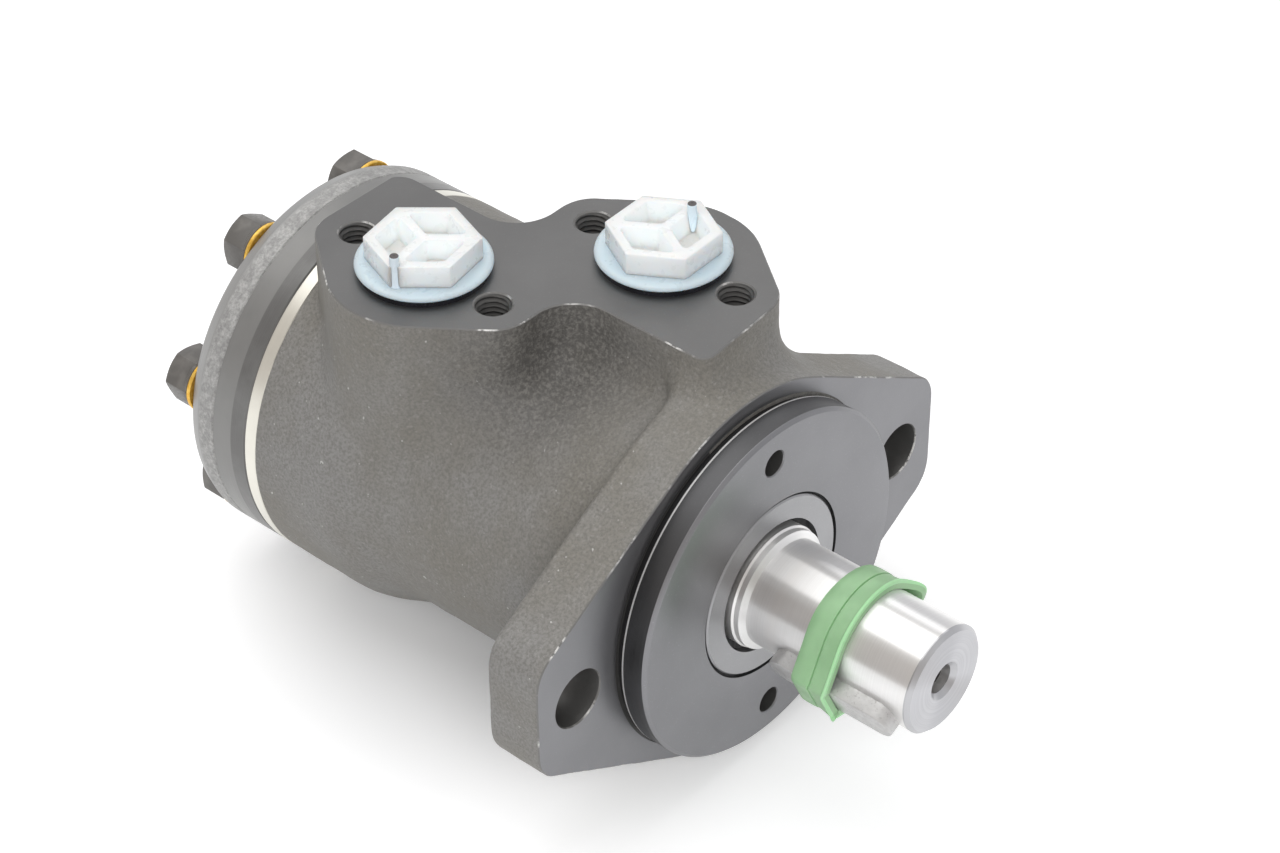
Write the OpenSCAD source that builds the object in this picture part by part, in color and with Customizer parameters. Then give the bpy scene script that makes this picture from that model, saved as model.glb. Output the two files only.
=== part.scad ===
// Orbital hydraulic motor: cast housing with oval flange and port pad, keyed shaft with
// integral spool valve, needle thrust bearing, cardan, and a gerotor set in a bolted rear stack.
// The shaft axis is Y, the shaft points along -Y, +Z is up, and the flange's face is at y = 0.

/* [Flange] */
// Thickness of the mounting flange
flange_t = 14; // [11:0.5:18]
// Rounding of the flange's rear edge
flange_edge = 2.5; // [1.5:0.5:3]
// Radius of the flange's round middle
flange_r = 45.1; // [43.8:0.1:48]
// Distance between the two flange holes
ear_spacing = 106.4; // [104:0.2:112]
// Radius of a flange hole
ear_hole_r = 6.75; // [5:0.25:7.5]
// Radius of an ear's corners
ear_corner_r = 9; // [7:0.5:10]
// Height of an ear's corner centre above the hole
ear_corner_z = 8.65; // [7:0.05:10]
// How far an ear's corner centre lies outside the hole
ear_corner_out = 3.2; // [2:0.1:5]
// Radius kept free round a flange hole for the bolt head
bolt_head_room_r = 15; // [13.2:0.1:16]
// Length of that free room behind the flange
bolt_head_room_len = 16; // [12:0.5:20]

/* [Pilot] */
// Radius of the pilot that centres the motor
pilot_r = 41.25; // [40.5:0.05:42]
// How far the pilot stands in front of the flange
pilot_h = 7.6; // [6:0.1:9]
// Chamfer on the pilot's front edge
pilot_chamfer = 0.8; // [0.3:0.1:1.5]
// Width of the relief groove at the pilot's foot
pilot_groove_w = 1.5; // [0.8:0.1:2.5]
// Depth of that groove
pilot_groove_d = 0.9; // [0.4:0.1:1.5]
// How far the groove reaches into the flange face
pilot_groove_back = 0.3; // [0.1:0.1:0.8]
// Radius of the two pin holes in the pilot face
pin_hole_r = 3; // [2:0.1:3.5]
// Distance of a pin hole from the shaft axis
pin_hole_at = 33.2; // [28:0.2:35]
// Depth of a pin hole
pin_hole_depth = 9; // [6:0.5:12]

/* [Barrel] */
// Length of the housing behind the flange face
housing_len = 103.5; // [101:0.5:108]
// Radius of the barrel behind the flange
barrel_r = 40.2; // [39.6:0.1:42]
// Radius of the rear collar, channel plate, gear ring and end cover
stack_r = 44.8; // [44.3:0.1:45.1]
// Length of the full-radius collar at the rear
collar_len = 20.5; // [18:0.5:24]
// Length of the slope from barrel to collar
collar_slope = 19; // [12:0.5:22]
// Fillet between flange and barrel
flange_fillet = 4.5; // [2:0.5:4.5]

/* [Port pad] */
// Height of the port pad above the shaft axis
pad_z = 54.5; // [52:0.5:58]
// Sideways distance of each port from the shaft axis
port_x = 18; // [17:0.5:19]
// Distance between the ports along the axis
port_pitch = 36; // [34:0.5:38]
// Radius of the pad round a port
lobe_r = 21.2; // [19.5:0.1:21.2]
// Radius of the pad round a bolt hole
pad_boss_r = 9.2; // [7:0.1:9.2]
// Radius of the pad's outer corners
pad_corner_r = 3; // [1:0.5:5]
// How far a lobe of the pad reaches past the shaft axis
pad_inner = 4.5; // [3.3:0.1:6]
// How far the pad's outer corner stands out past the bolt boss beside it
pad_corner_out = 1.3; // [0:0.1:1.5]
// Radius of the concave corners at the pad's waist
waist_fillet = 10; // [3:0.5:12]
// Radius of a port's thread
port_r = 10.5; // [9:0.1:11.5]
// Depth of a port's thread
port_depth = 16; // [12:0.5:17]
// Distance between the two bolt holes of a port
port_bolt_pitch = 40; // [38:0.5:40.5]
// Core radius of a port bolt hole
port_bolt_r = 3.4; // [2.5:0.1:4]
// Depth of a port bolt hole
port_bolt_depth = 14; // [10:0.5:15]
// Countersink of a port bolt hole
port_bolt_sink = 0.8; // [0.4:0.1:1.5]
// Radius of the drilled passage from a port to the spool
passage_r = 4.6; // [3:0.1:5.2]

/* [Shaft] */
// Radius of the shaft end
shaft_r = 12.5; // [11.5:0.1:13]
// How far the shaft reaches in front of the flange face
shaft_reach = 53.5; // [52:0.5:60]
// Radius of the shaft where the seals run
seal_land_r = 14.3; // [13.6:0.1:14.8]
// Where the seal land ends, in front of the flange face
seal_land_reach = 8.2; // [8:0.1:9]
// Length of the cone from the seal land to the shaft end
root_cone = 1.8; // [1:0.1:3]
// Chamfer on the shaft's end
shaft_chamfer = 0.9; // [0.4:0.1:1.5]
// Core radius of the tapped hole in the shaft's end
end_hole_r = 3.4; // [2.5:0.1:4]
// Depth of the tapped hole in the shaft's end
end_hole_depth = 22; // [12:1:26]
// Mouth radius of that hole's countersink
end_sink_r = 4.5; // [4.2:0.1:5.5]

/* [Key and band] */
// Width of the key
key_w = 8; // [6:0.5:9]
// Height of the key
key_h = 7; // [6.5:0.1:8]
// Length of the key
key_len = 32; // [24:0.5:34]
// Edge broken off the key's top
key_chamfer = 0.5; // [0.2:0.1:0.8]
// Depth of the keyway in the shaft
keyway_d = 4; // [3:0.1:4.4]
// Distance from the shaft's end to the key
key_from_end = 3; // [2:0.5:6]
// Direction of the key round the axis, in degrees from +X towards +Z
key_angle = -154; // [-180:1:180]
// Width of the band over the key
band_w = 9.3; // [6:0.1:12]
// Thickness of the band
band_t = 1.7; // [1:0.1:2.5]
// Distance from the shaft's end to the band
band_from_end = 17.6; // [14:0.1:20]
// Looseness of the band on the shaft and key
band_slack = 0.05; // [0.03:0.01:0.2]

/* [Seals and thrust bearing] */
// Outer radius of the seal carrier
carrier_r = 21.3; // [20.5:0.1:23]
// Edge broken off the seal carrier
carrier_edge = 0.35; // [0.2:0.05:0.6]
// Length of the seal carrier
carrier_len = 9.6; // [9:0.1:10]
// Radius of the hole through the seal carrier
carrier_hole_r = 15.8; // [15.2:0.1:16.5]
// Distance of the dust seal's groove from the carrier's front
dust_groove_at = 2; // [1:0.1:3]
// Outer radius of the dust seal
dust_seal_r = 18.4; // [17.8:0.1:19.2]
// Width of the dust seal
dust_seal_w = 3.8; // [3:0.1:4.2]
// Outer radius of the shaft seal
shaft_seal_r = 19.5; // [19:0.1:21]
// Width of the shaft seal
shaft_seal_w = 6.4; // [5:0.1:6.8]
// Thickness of the wall between the shaft seal and the thrust race
wall_t = 4.6; // [3:0.1:6]
// Thickness of the thrust race
race_t = 2; // [1.5:0.1:2.5]
// How far the needle cage stays inside the race's edges
cage_inset = 0.1; // [0.05:0.05:0.3]
// Radius of a thrust needle
needle_r = 1.5; // [1.2:0.05:1.7]
// Length of a thrust needle
needle_len = 3.6; // [2.6:0.1:3.8]
// Number of thrust needles
needle_count = 24; // [16:1:26]
// Thickness of the needle cage
cage_t = 2; // [1.4:0.1:2.2]
// Radial play of the thrust bearing
bearing_gap = 0.3; // [0.2:0.05:0.4]
// Play of a needle in its pocket
needle_play = 0.1; // [0.05:0.05:0.2]

/* [Spool valve] */
// Radius of the spool
spool_r = 20; // [19:0.1:21]
// Running gap between parts that turn in each other
run_gap = 0.04; // [0.02:0.01:0.08]
// Distance from the spool's rear end to the channel plate
spool_back = 3.4; // [2:0.1:5]
// Chamfer on the spool's ends
spool_chamfer = 0.6; // [0.3:0.1:1]
// Wall of the hollow spool
spool_wall = 6; // [5:0.1:6.5]
// Width of each ring groove of the spool and housing
gallery_w = 9.6; // [7:0.1:10.4]
// Depth of a ring groove in the spool
spool_groove_d = 2.4; // [1.5:0.1:3]
// Depth of a ring groove in the housing
gallery_d = 3.8; // [2:0.1:4.2]
// Width of a timing slot
slot_w = 3.6; // [2.5:0.1:4.2]
// Depth of a timing slot
slot_d = 2; // [1.2:0.1:2.4]
// How far a timing slot runs past the timing windows
slot_extra = 0.5; // [0:0.1:1]
// Radius of an axial channel to the gear set
channel_r = 2.4; // [1.8:0.1:2.4]
// Radius of a timing window, which opens into its channel
window_r = 2.2; // [1.6:0.1:2.3]
// Distance of the axial channels from the axis
channel_at = 27.6; // [27.2:0.1:27.7]

/* [Gear set] */
// Number of lobes of the gear ring, which is the number of screws too
ring_lobes = 7; // [7]
// Eccentricity of the star
eccentricity = 3; // [2.4:0.1:3]
// Distance of the ring's lobes from the axis
lobe_at = 32.6; // [32.2:0.1:32.8]
// Radius of a ring lobe
lobe_tooth_r = 9; // [8.8:0.1:9.4]
// Clearance of the star's profile
mesh_gap = 0.12; // [0.12:0.01:0.2]
// Clearance of the star's tips in the ring's pockets
pocket_gap = 0.3; // [0.2:0.05:0.4]
// Thickness of the gear ring
ring_t = 10.3; // [9:0.1:14]
// Clearance at each side of the star
side_gap = 0.03; // [0.02:0.01:0.08]

/* [Cardan] */
// Number of spline teeth
spline_teeth = 12; // [12]
// Tip radius of the cardan's teeth
spline_tip_r = 11; // [10.6:0.1:11.2]
// Height of a spline tooth
spline_tooth_h = 1.8; // [1.4:0.1:2]
// Width of a spline tooth at its foot
spline_tooth_w = 2.6; // [2:0.1:2.8]
// Width of a spline tooth at its tip
spline_tip_w = 1.9; // [1.4:0.1:2]
// Clearance between the splines, which leaves room for the cardan's tilt
spline_gap = 0.4; // [0.38:0.01:0.5]
// Length of the front spline
front_spline_len = 14; // [10:0.5:16]
// Distance from the spool's front to the middle of that spline
spline_from_front = 17; // [15:0.5:20]
// Free room at a spline's end
spline_room = 2; // [1:0.5:3]
// How much shorter the cardan's front spline is than the shaft's
spline_short = 1; // [0.5:0.1:2]
// Radius of the cardan between its splines
cardan_r = 8.2; // [7:0.1:8.6]
// How far the cardan's neck lies below its tooth roots
neck_drop = 0.3; // [0.1:0.1:0.6]
// Thickness of the drive spacer
spacer_t = 1.2; // [0.8:0.1:1.6]
// Gap between the drive spacer and the cardan
spacer_gap = 0.25; // [0.2:0.05:0.4]

/* [Rear stack] */
// Thickness of the channel plate
plate_t = 3.6; // [3:0.1:5]
// Free room round the cardan in the channel plate
cardan_room = 1.3; // [0.8:0.1:2]
// Edge broken off the plate, the ring and the cover's front
stack_edge = 0.3; // [0.1:0.1:0.5]
// Thickness of the end cover
cover_t = 8.1; // [7.5:0.1:10]
// Length of the cover's slope towards its rear face
cover_slope = 3.4; // [2:0.1:4.5]
// How far the cover narrows over that slope
cover_drop = 1; // [0.5:0.1:2]
// Chamfer round the cover's rear face
cover_chamfer = 0.8; // [0.4:0.1:1.5]
// Distance of the screws from the axis
screw_at = 37.6; // [37.6:0.1:38]
// Radius of a screw's shank
screw_r = 4; // [3.5:0.1:4]
// Clearance round the shanks
screw_gap = 0.2; // [0.15:0.05:0.3]
// Width of a screw's hexagon across its flats
screw_af = 13; // [11:0.5:13]
// Height of a screw's hexagon
screw_head_h = 6.2; // [5:0.1:8]
// Radius of a screw's round flange
screw_flange_r = 6.7; // [6.5:0.1:7]
// Thickness of that flange
screw_flange_t = 1.2; // [0.8:0.1:2]
// Clearance round the shank in the housing, where the thread would be
thread_gap = 0.05; // [0.02:0.01:0.1]
// How deep a screw reaches into the housing
screw_grip = 16; // [12:0.5:18]
// Free room past a screw's tip
screw_room = 2; // [1:0.5:4]
// Chamfer on a screw's hexagon
screw_chamfer = 1.3; // [0.8:0.1:1.6]
// Thickness of a washer
washer_t = 1; // [0.8:0.1:1.6]
// Outer radius of a washer
washer_r = 6.9; // [6.7:0.1:7]
// Middle radius of the ring seals in the stack
face_seal_at = 31.5; // [31.3:0.05:31.6]
// Thickness of a ring seal
face_seal_t = 1.3; // [1:0.1:1.3]
// Side clearance of a ring seal in its groove
face_seal_gap = 0.15; // [0.05:0.05:0.2]

/* [Port plugs] */
// Radius of a plug's collar
plug_collar_r = 14.9; // [13.5:0.1:15.5]
// Thickness of a plug's collar
plug_collar_t = 1.5; // [1:0.1:2.5]
// How far the collar narrows towards its top
plug_collar_draft = 0.8; // [0.3:0.1:1.2]
// Thickness of the seal ring under the collar
plug_seal_t = 1.2; // [0.8:0.1:2]
// Radius of the seal ring
plug_seal_r = 14.3; // [13:0.1:14.8]
// Width of a plug's hexagon across its flats
plug_af = 22; // [19:0.5:24]
// Height of a plug's hexagon
plug_hex_h = 5.2; // [4:0.1:8]
// Radius of the post that moulding leaves on a plug
plug_post_r = 1.1; // [0.6:0.1:1.4]
// How far the post stands over the hexagon
plug_post_h = 2.4; // [1:0.1:4]
// Distance of the front plug's post from the plug's middle
plug_post_front_at = 8; // [6:0.1:8.2]
// Direction of the front plug's post
plug_post_front_turn = -8; // [-12:1:0]
// Distance of the rear plug's post from the plug's middle
plug_post_rear_at = 11.4; // [10:0.1:12]
// Direction of the rear plug's post
plug_post_rear_turn = 193; // [185:1:235]
// Wall and web thickness inside the hexagon
plug_wall = 2.2; // [1.5:0.1:3]
// Depth of the pockets in the hexagon
plug_pocket = 4.4; // [2:0.1:6]
// Length of a plug's shank
plug_shank = 9; // [6:0.5:11]
// Gap between a plug's shank and the port
plug_gap = 0.1; // [0.05:0.05:0.2]
// Gap between the seal ring and the shank's side
plug_seal_gap = 0.3; // [0.2:0.05:0.5]
// Thickness of the closed top over the shank's hollow
plug_roof = 1; // [0.8:0.1:1.5]
// Turn of the front plug's hexagon
plug_turn_front = 72; // [0:1:120]
// Turn of the rear plug's hexagon
plug_turn_rear = 0; // [0:1:120]

/* [Hidden] */
$fn = 96;
hull_fn = 32;
// Extra length of a cut past the face it leaves
past = 1;

// Directions of the screws and ring lobes: the first one points straight down
first_angle = -90;
lobe_step = 360 / ring_lobes;
lobe_angles = [for (i = [0 : ring_lobes - 1]) first_angle + i * lobe_step];
channel_angles = [for (a = lobe_angles) a + lobe_step / 2];

// Places along the axis, front to rear
carrier_y = -pilot_h;
shaft_seal_y = carrier_y + carrier_len;
wall_y = shaft_seal_y + shaft_seal_w;
race_y = wall_y + wall_t;
needle_y = race_y + race_t + run_gap;
spool_y = needle_y + 2 * needle_r + run_gap;
spool_end = housing_len - spool_back;
plate_y0 = housing_len;
ring_y = plate_y0 + plate_t;
cover_y = ring_y + ring_t;
cover_end = cover_y + cover_t;

// Port pattern: the rear lobe of the pad ends level with the housing's rear face.
// The front port lies on +X, the rear one on -X
pad_mid = housing_len - (port_pitch + port_bolt_pitch) / 2 - pad_boss_r;
port_front = [port_x, pad_mid - port_pitch / 2];
port_rear = [-port_x, pad_mid + port_pitch / 2];
timing_y = pad_mid;
boss_front = port_front - [0, port_bolt_pitch / 2];
boss_rear = port_rear - [0, port_bolt_pitch / 2];
pad_front = boss_front[1] - pad_boss_r - pad_corner_out;
corner_at = [pad_corner_r - pad_inner, pad_front + pad_corner_r];
waist_front = boss_rear[1] - pad_boss_r;
waist_at = [-pad_inner - waist_fillet, waist_front - waist_fillet];
gallery_front = port_front[1];
gallery_rear = port_rear[1];

// Bearing, spline and spool radii
race_r = spool_r - bearing_gap;
cage_r = race_r - cage_inset;
wall_hole_r = seal_land_r + 2 * bearing_gap;
cage_hole_r = wall_hole_r + cage_inset;
spool_bore_r = spool_r - spool_wall;
needle_at = (cage_r + cage_hole_r) / 2;
spline_root_r = spline_tip_r - spline_tooth_h;

// The cardan tilts about the middle of the front spline and follows the star's centre
front_joint = spool_y + spline_from_front;
star_mid = ring_y + ring_t / 2;
rest_dir = first_angle;
cardan_tilt = atan(eccentricity / (star_mid - front_joint));
star_t = ring_t - 2 * side_gap;
star_x = eccentricity * cos(rest_dir);
star_z = eccentricity * sin(rest_dir);
pocket_r = lobe_at - lobe_tooth_r + 2 * eccentricity + pocket_gap;

shaft_end = -shaft_reach;
key_y0 = shaft_end + key_from_end;
key_y1 = key_y0 + key_len;
key_top = shaft_r - keyway_d + key_h;
band_y0 = shaft_end + band_from_end;

cast_colour = [0.36, 0.345, 0.33];
steel_colour = [0.78, 0.78, 0.79];
dark_steel = [0.3, 0.3, 0.32];
rubber_colour = [0.1, 0.1, 0.11];

// A solid turned about the motor axis from [radius, y] points
module turned(points) {
    rotate([-90, 0, 0]) rotate_extrude() polygon(points);
}

// A flat outline in X and Z, made solid from y0 to y1
module slab(y0, y1) {
    translate([0, y1, 0]) rotate([90, 0, 0]) linear_extrude(y1 - y0) children();
}

// A ring about the motor axis
module ring(r0, r1, y0, y1) {
    turned([[r0, y0], [r1, y0], [r1, y1], [r0, y1]]);
}

// A round rod along the axis direction, centred at radius at and direction angle
module rod(at, angle, r, y0, y1) {
    translate([at * cos(angle), y0, at * sin(angle)])
        rotate([-90, 0, 0]) cylinder(r = r, h = y1 - y0);
}

// Two circles joined by their outer tangents, which run a hair inside the circles to cross them cleanly
module belt(c0, r0, c1, r1) {
    hair = 0.01;
    d = c1 - c0;
    turn = atan2(d[1], d[0]);
    lean = acos((r0 - r1) / norm(d));
    translate(c0) circle(r0);
    translate(c1) circle(r1);
    polygon([for (s = [-1, 1]) c0 + (r0 - hair) * [cos(turn + s * lean), sin(turn + s * lean)],
        for (s = [1, -1]) c1 + (r1 - hair) * [cos(turn + s * lean), sin(turn + s * lean)]]);
}

// Oval outline of the mounting flange in X and Z
module flange_outline(inset = 0) {
    ear = [ear_spacing / 2 + ear_corner_out, ear_corner_z];
    for (sx = [-1, 1], sz = [-1, 1])
        belt([0, 0], flange_r - inset, [sx * ear[0], sz * ear[1]], ear_corner_r - inset);
    square([2 * (ear[0] + ear_corner_r - inset), 2 * ear[1]], center = true);
}

// One lobe of the port pad in X and Y, for the front port, as far as the pad's middle
module pad_lobe() {
    for (s = [-1, 1])
        belt(port_front, lobe_r, port_front + [0, s * port_bolt_pitch / 2], pad_boss_r);
    belt(boss_front, pad_boss_r, corner_at, pad_corner_r);
    translate([-pad_inner, corner_at[1]]) square([port_x + pad_inner, pad_mid - corner_at[1]]);
}

// Fill of one concave corner at the waist, in front of the rear lobe
module waist_corner() {
    difference() {
        translate(waist_at) square(waist_fillet + 0.01);
        translate(waist_at) circle(waist_fillet);
    }
}

// Whole outline of the port pad in X and Y, cut off level with the housing's rear face
module pad_outline() {
    intersection() {
        union() {
            translate([0, pad_mid]) square([2 * port_x, 2 * (pad_mid - waist_front)], center = true);
            for (turn = [0, 180])
                translate([0, pad_mid]) rotate(turn) translate([0, -pad_mid]) {
                    pad_lobe();
                    waist_corner();
                }
        }
        translate([-2 * lobe_r, 0]) square([4 * lobe_r, housing_len]);
    }
}

// Barrel with its smooth slope up to the rear collar and the fillet behind the flange
module barrel() {
    slope_start = housing_len - collar_len - collar_slope;
    steps = 10;
    turned(concat([[0, 0], [barrel_r + flange_fillet, 0], [barrel_r + flange_fillet, flange_t]],
        [for (a = [10 : 20 : 90]) [barrel_r + flange_fillet * (1 - sin(a)),
            flange_t + flange_fillet * (1 - cos(a))]],
        [for (i = [0 : steps]) [barrel_r + (stack_r - barrel_r) * (1 - cos(180 * i / steps)) / 2,
            slope_start + collar_slope * i / steps]],
        [[stack_r, housing_len], [0, housing_len]]));
}

// Flange plate, with its rear edge rounded over
module flange() {
    // The rounded part starts a hair inside the plate, and passes through the middle of a quarter circle
    hair = 0.1;
    middle = flange_edge * (1 - cos(45));
    slab(0, flange_t - flange_edge) flange_outline();
    hull() {
        slab(flange_t - flange_edge - hair, flange_t - flange_edge + hair)
            flange_outline(hair, $fn = hull_fn);
        slab(flange_t - middle - hair, flange_t - middle) flange_outline(middle, $fn = hull_fn);
        slab(flange_t - hair, flange_t) flange_outline(flange_edge, $fn = hull_fn);
    }
}

// Pilot with its chamfer
module pilot() {
    turned([[0, -pilot_h], [pilot_r - pilot_chamfer, -pilot_h], [pilot_r, pilot_chamfer - pilot_h],
        [pilot_r, past], [0, past]]);
}

// Relief groove at the pilot's foot, also cut a little into the flange face
module pilot_groove() {
    slope = 0.4;
    foot = pilot_r - pilot_groove_d;
    turned([[foot, slope - pilot_groove_w], [pilot_r + slope, -pilot_groove_w],
        [pilot_r + slope, pilot_groove_back], [foot, pilot_groove_back]]);
}

module port_pad() {
    linear_extrude(pad_z) pad_outline();
}

// Everything bored into the housing about the motor axis
module housing_bores() {
    bore_r = spool_r + run_gap;
    turned([[0, -pilot_h - past], [carrier_r, -pilot_h - past], [carrier_r, shaft_seal_y],
        [shaft_seal_r, shaft_seal_y], [shaft_seal_r, wall_y], [wall_hole_r, wall_y],
        [wall_hole_r, race_y], [bore_r, race_y], [bore_r, housing_len + past],
        [0, housing_len + past]]);
    for (y = [gallery_front, gallery_rear])
        ring(spool_r - past, spool_r + gallery_d, y - gallery_w / 2, y + gallery_w / 2);
    for (a = channel_angles) {
        rod(channel_at, a, channel_r, timing_y - channel_r, housing_len + past);
        rotate([0, -a, 0]) translate([spool_r - past, timing_y, 0])
            rotate([0, 90, 0]) cylinder(r = window_r, h = channel_at - spool_r + past);
    }
}

// Ports, their bolt holes and the slanting passages to the ring galleries
module port_bores() {
    for (turn = [0, 180])
        translate([0, pad_mid, 0]) rotate([0, 0, turn]) translate([0, -pad_mid, 0])
        translate([port_x, port_front[1], 0]) {
            translate([0, 0, pad_z - port_depth]) cylinder(r = port_r, h = port_depth + past);
            for (s = [-1, 1]) translate([0, s * port_bolt_pitch / 2, 0]) {
                translate([0, 0, pad_z - port_bolt_depth])
                    cylinder(r = port_bolt_r, h = port_bolt_depth + past);
                translate([0, 0, pad_z - port_bolt_sink])
                    cylinder(r1 = port_bolt_r, r2 = port_bolt_r + port_bolt_sink + past,
                        h = port_bolt_sink + past);
            }
            // The passage leans towards the axis between two channels
            drop = pad_z - port_depth - spool_r;
            lean = port_x / 2;
            translate([0, 0, pad_z - port_depth + past / 2]) rotate([0, 180 + atan(lean / drop), 0])
                cylinder(r = passage_r, h = norm([lean, drop]) + past);
        }
}

module housing() {
    color(cast_colour) difference() {
        union() {
            barrel();
            flange();
            pilot();
            port_pad();
        }
        housing_bores();
        port_bores();
        pilot_groove();
        for (s = [-1, 1]) {
            translate([s * ear_spacing / 2, -past, 0]) rotate([-90, 0, 0])
                cylinder(r = ear_hole_r, h = flange_t + 2 * past);
            translate([s * ear_spacing / 2, flange_t, 0]) rotate([-90, 0, 0])
                cylinder(r = bolt_head_room_r, h = bolt_head_room_len);
            translate([0, -pilot_h - past, s * pin_hole_at]) rotate([-90, 0, 0])
                cylinder(r = pin_hole_r, h = pin_hole_depth + past);
        }
        for (a = lobe_angles)
            rod(screw_at, a, screw_r + thread_gap, housing_len - screw_grip - screw_room,
                housing_len + past);
        seal_groove(housing_len);
        // Flat under the flange, level with the round stack, on which the motor lies
        translate([-flange_r, -past, -2 * flange_r]) cube([2 * flange_r, flange_t + 2 * past,
            2 * flange_r - stack_r]);
    }
}

// Groove for a ring seal, cut into a face from y forwards
module seal_groove(y) {
    half = face_seal_t / 2 + face_seal_gap;
    ring(face_seal_at - half, face_seal_at + half, y - face_seal_t, y + past);
}

// Ring seal that lies in the groove in front of the face at y
module face_seal(y) {
    hair = 0.01;
    color(rubber_colour) rotate([-90, 0, 0]) translate([0, 0, y - face_seal_t / 2])
        rotate_extrude() translate([face_seal_at, 0]) circle(face_seal_t / 2 - hair, $fn = 24);
}

module seal_carrier() {
    groove_y = carrier_y + dust_groove_at;
    back_hole_r = seal_land_r + 2;
    color(dark_steel) turned([[carrier_hole_r, carrier_y], [carrier_r - carrier_edge, carrier_y],
        [carrier_r, carrier_y + carrier_edge], [carrier_r, shaft_seal_y], [back_hole_r, shaft_seal_y],
        [back_hole_r, groove_y + dust_seal_w], [dust_seal_r, groove_y + dust_seal_w],
        [dust_seal_r, groove_y], [carrier_hole_r, groove_y]]);
}

module dust_seal() {
    y = carrier_y + dust_groove_at;
    lip = seal_land_r + run_gap;
    // The lip is a short land at the front, carried by a thin wall
    lip_y = y + dust_seal_w / 10;
    lip_w = 0.5;
    thin = 1.4;
    color(rubber_colour) turned([[dust_seal_r, y], [dust_seal_r, y + dust_seal_w],
        [lip + thin, y + dust_seal_w], [lip + thin, y + dust_seal_w / 2], [lip, lip_y + lip_w],
        [lip, lip_y], [lip + thin, y]]);
}

module shaft_seal() {
    lip = seal_land_r + run_gap;
    y = shaft_seal_y;
    // Shell and lip are joined by a web at the front, and the lip leans towards the pressure side
    shell = 1.4;
    web = 2;
    lip_y = wall_y - 2.4;
    lip_w = 0.6;
    color(rubber_colour) turned([[shaft_seal_r, y], [shaft_seal_r, wall_y],
        [shaft_seal_r - shell, wall_y], [shaft_seal_r - shell, y + web], [lip + web, y + web],
        [lip + shell, wall_y - lip_w], [lip, lip_y + lip_w], [lip, lip_y], [lip + lip_w, y]]);
}

module thrust_race() {
    color(steel_colour) ring(cage_hole_r, race_r, race_y, race_y + race_t);
}

module needle_cage() {
    mid = needle_y + needle_r;
    color("silver") difference() {
        ring(cage_hole_r, cage_r, mid - cage_t / 2, mid + cage_t / 2);
        for (i = [0 : needle_count - 1]) rotate([0, i * 360 / needle_count, 0])
            translate([needle_at, mid, 0])
            cube([needle_len + needle_play, cage_t + past, 2 * needle_r + needle_play], center = true);
    }
}

module thrust_needles() {
    color(steel_colour) for (i = [0 : needle_count - 1]) rotate([0, i * 360 / needle_count, 0])
        translate([needle_at - needle_len / 2, needle_y + needle_r, 0])
        rotate([0, 90, 0]) cylinder(r = needle_r, h = needle_len);
}

// Outline of a toothed hub: clearance widens it for the hole that takes it
module spline_outline(clearance = 0) {
    foot = spline_tooth_w / 2 + clearance;
    tip = spline_tip_w / 2 + clearance;
    circle(spline_root_r + clearance);
    for (i = [0 : spline_teeth - 1]) rotate(i * 360 / spline_teeth)
        polygon([[0, -foot], [spline_root_r, -foot], [spline_tip_r + clearance, -tip],
            [spline_tip_r + clearance, tip], [spline_root_r, foot], [0, foot]]);
}

// The key's plan from above, with round ends
module key_plan(grow = 0) {
    for (y = [key_y0 + key_w / 2, key_y1 - key_w / 2]) translate([0, y]) circle(key_w / 2 + grow);
    translate([-key_w / 2 - grow, key_y0 + key_w / 2]) square([key_w + 2 * grow, key_len - key_w]);
}

// Solid on the key's plan, between two heights measured from the shaft axis
module on_key_side(z0, z1) {
    rotate([0, 90 - key_angle, 0]) translate([0, 0, z0]) linear_extrude(z1 - z0) children();
}

module output_shaft() {
    // A slot runs from its groove to just past the timing windows
    slot_len = port_pitch / 2 + channel_r + slot_extra;
    slot_floor = spool_r - slot_d;
    color(steel_colour) difference() {
        turned([[0, shaft_end], [shaft_r - shaft_chamfer, shaft_end],
            [shaft_r, shaft_end + shaft_chamfer], [shaft_r, -seal_land_reach - root_cone],
            [seal_land_r, -seal_land_reach], [seal_land_r, spool_y], [spool_r - spool_chamfer, spool_y],
            [spool_r, spool_y + spool_chamfer], [spool_r, spool_end - spool_chamfer],
            [spool_r - spool_chamfer, spool_end], [0, spool_end]]);
        // Hollow spool and the spline at its front
        turned([[0, front_joint + front_spline_len / 2], [spool_bore_r, front_joint + front_spline_len / 2],
            [spool_bore_r, spool_end + past], [0, spool_end + past]]);
        slab(front_joint - front_spline_len / 2 - spline_room, front_joint + front_spline_len / 2 + past)
            spline_outline(spline_gap);
        for (y = [gallery_front, gallery_rear])
            ring(spool_r - spool_groove_d, spool_r + past, y - gallery_w / 2, y + gallery_w / 2);
        // Timing slots, in turn from the front and from the rear groove
        for (i = [0 : 2 * (ring_lobes - 1) - 1])
            rotate([0, i * 180 / (ring_lobes - 1), 0])
            translate([slot_floor, i % 2 == 0 ? gallery_front : gallery_rear - slot_len, -slot_w / 2])
            cube([spool_r - slot_floor + past, slot_len, slot_w]);
        on_key_side(shaft_r - keyway_d, shaft_r + past) key_plan();
        translate([0, shaft_end - past, 0]) rotate([-90, 0, 0])
            cylinder(r = end_hole_r, h = end_hole_depth + past);
        turned([[0, shaft_end - past], [end_sink_r + past, shaft_end - past],
            [end_hole_r, shaft_end + end_sink_r - end_hole_r], [0, shaft_end + end_sink_r - end_hole_r]]);
    }
}

module shaft_key() {
    color([0.62, 0.62, 0.62]) {
        on_key_side(shaft_r - keyway_d, key_top - key_chamfer) key_plan();
        on_key_side(key_top - key_chamfer, key_top) key_plan(-key_chamfer);
    }
}

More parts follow.
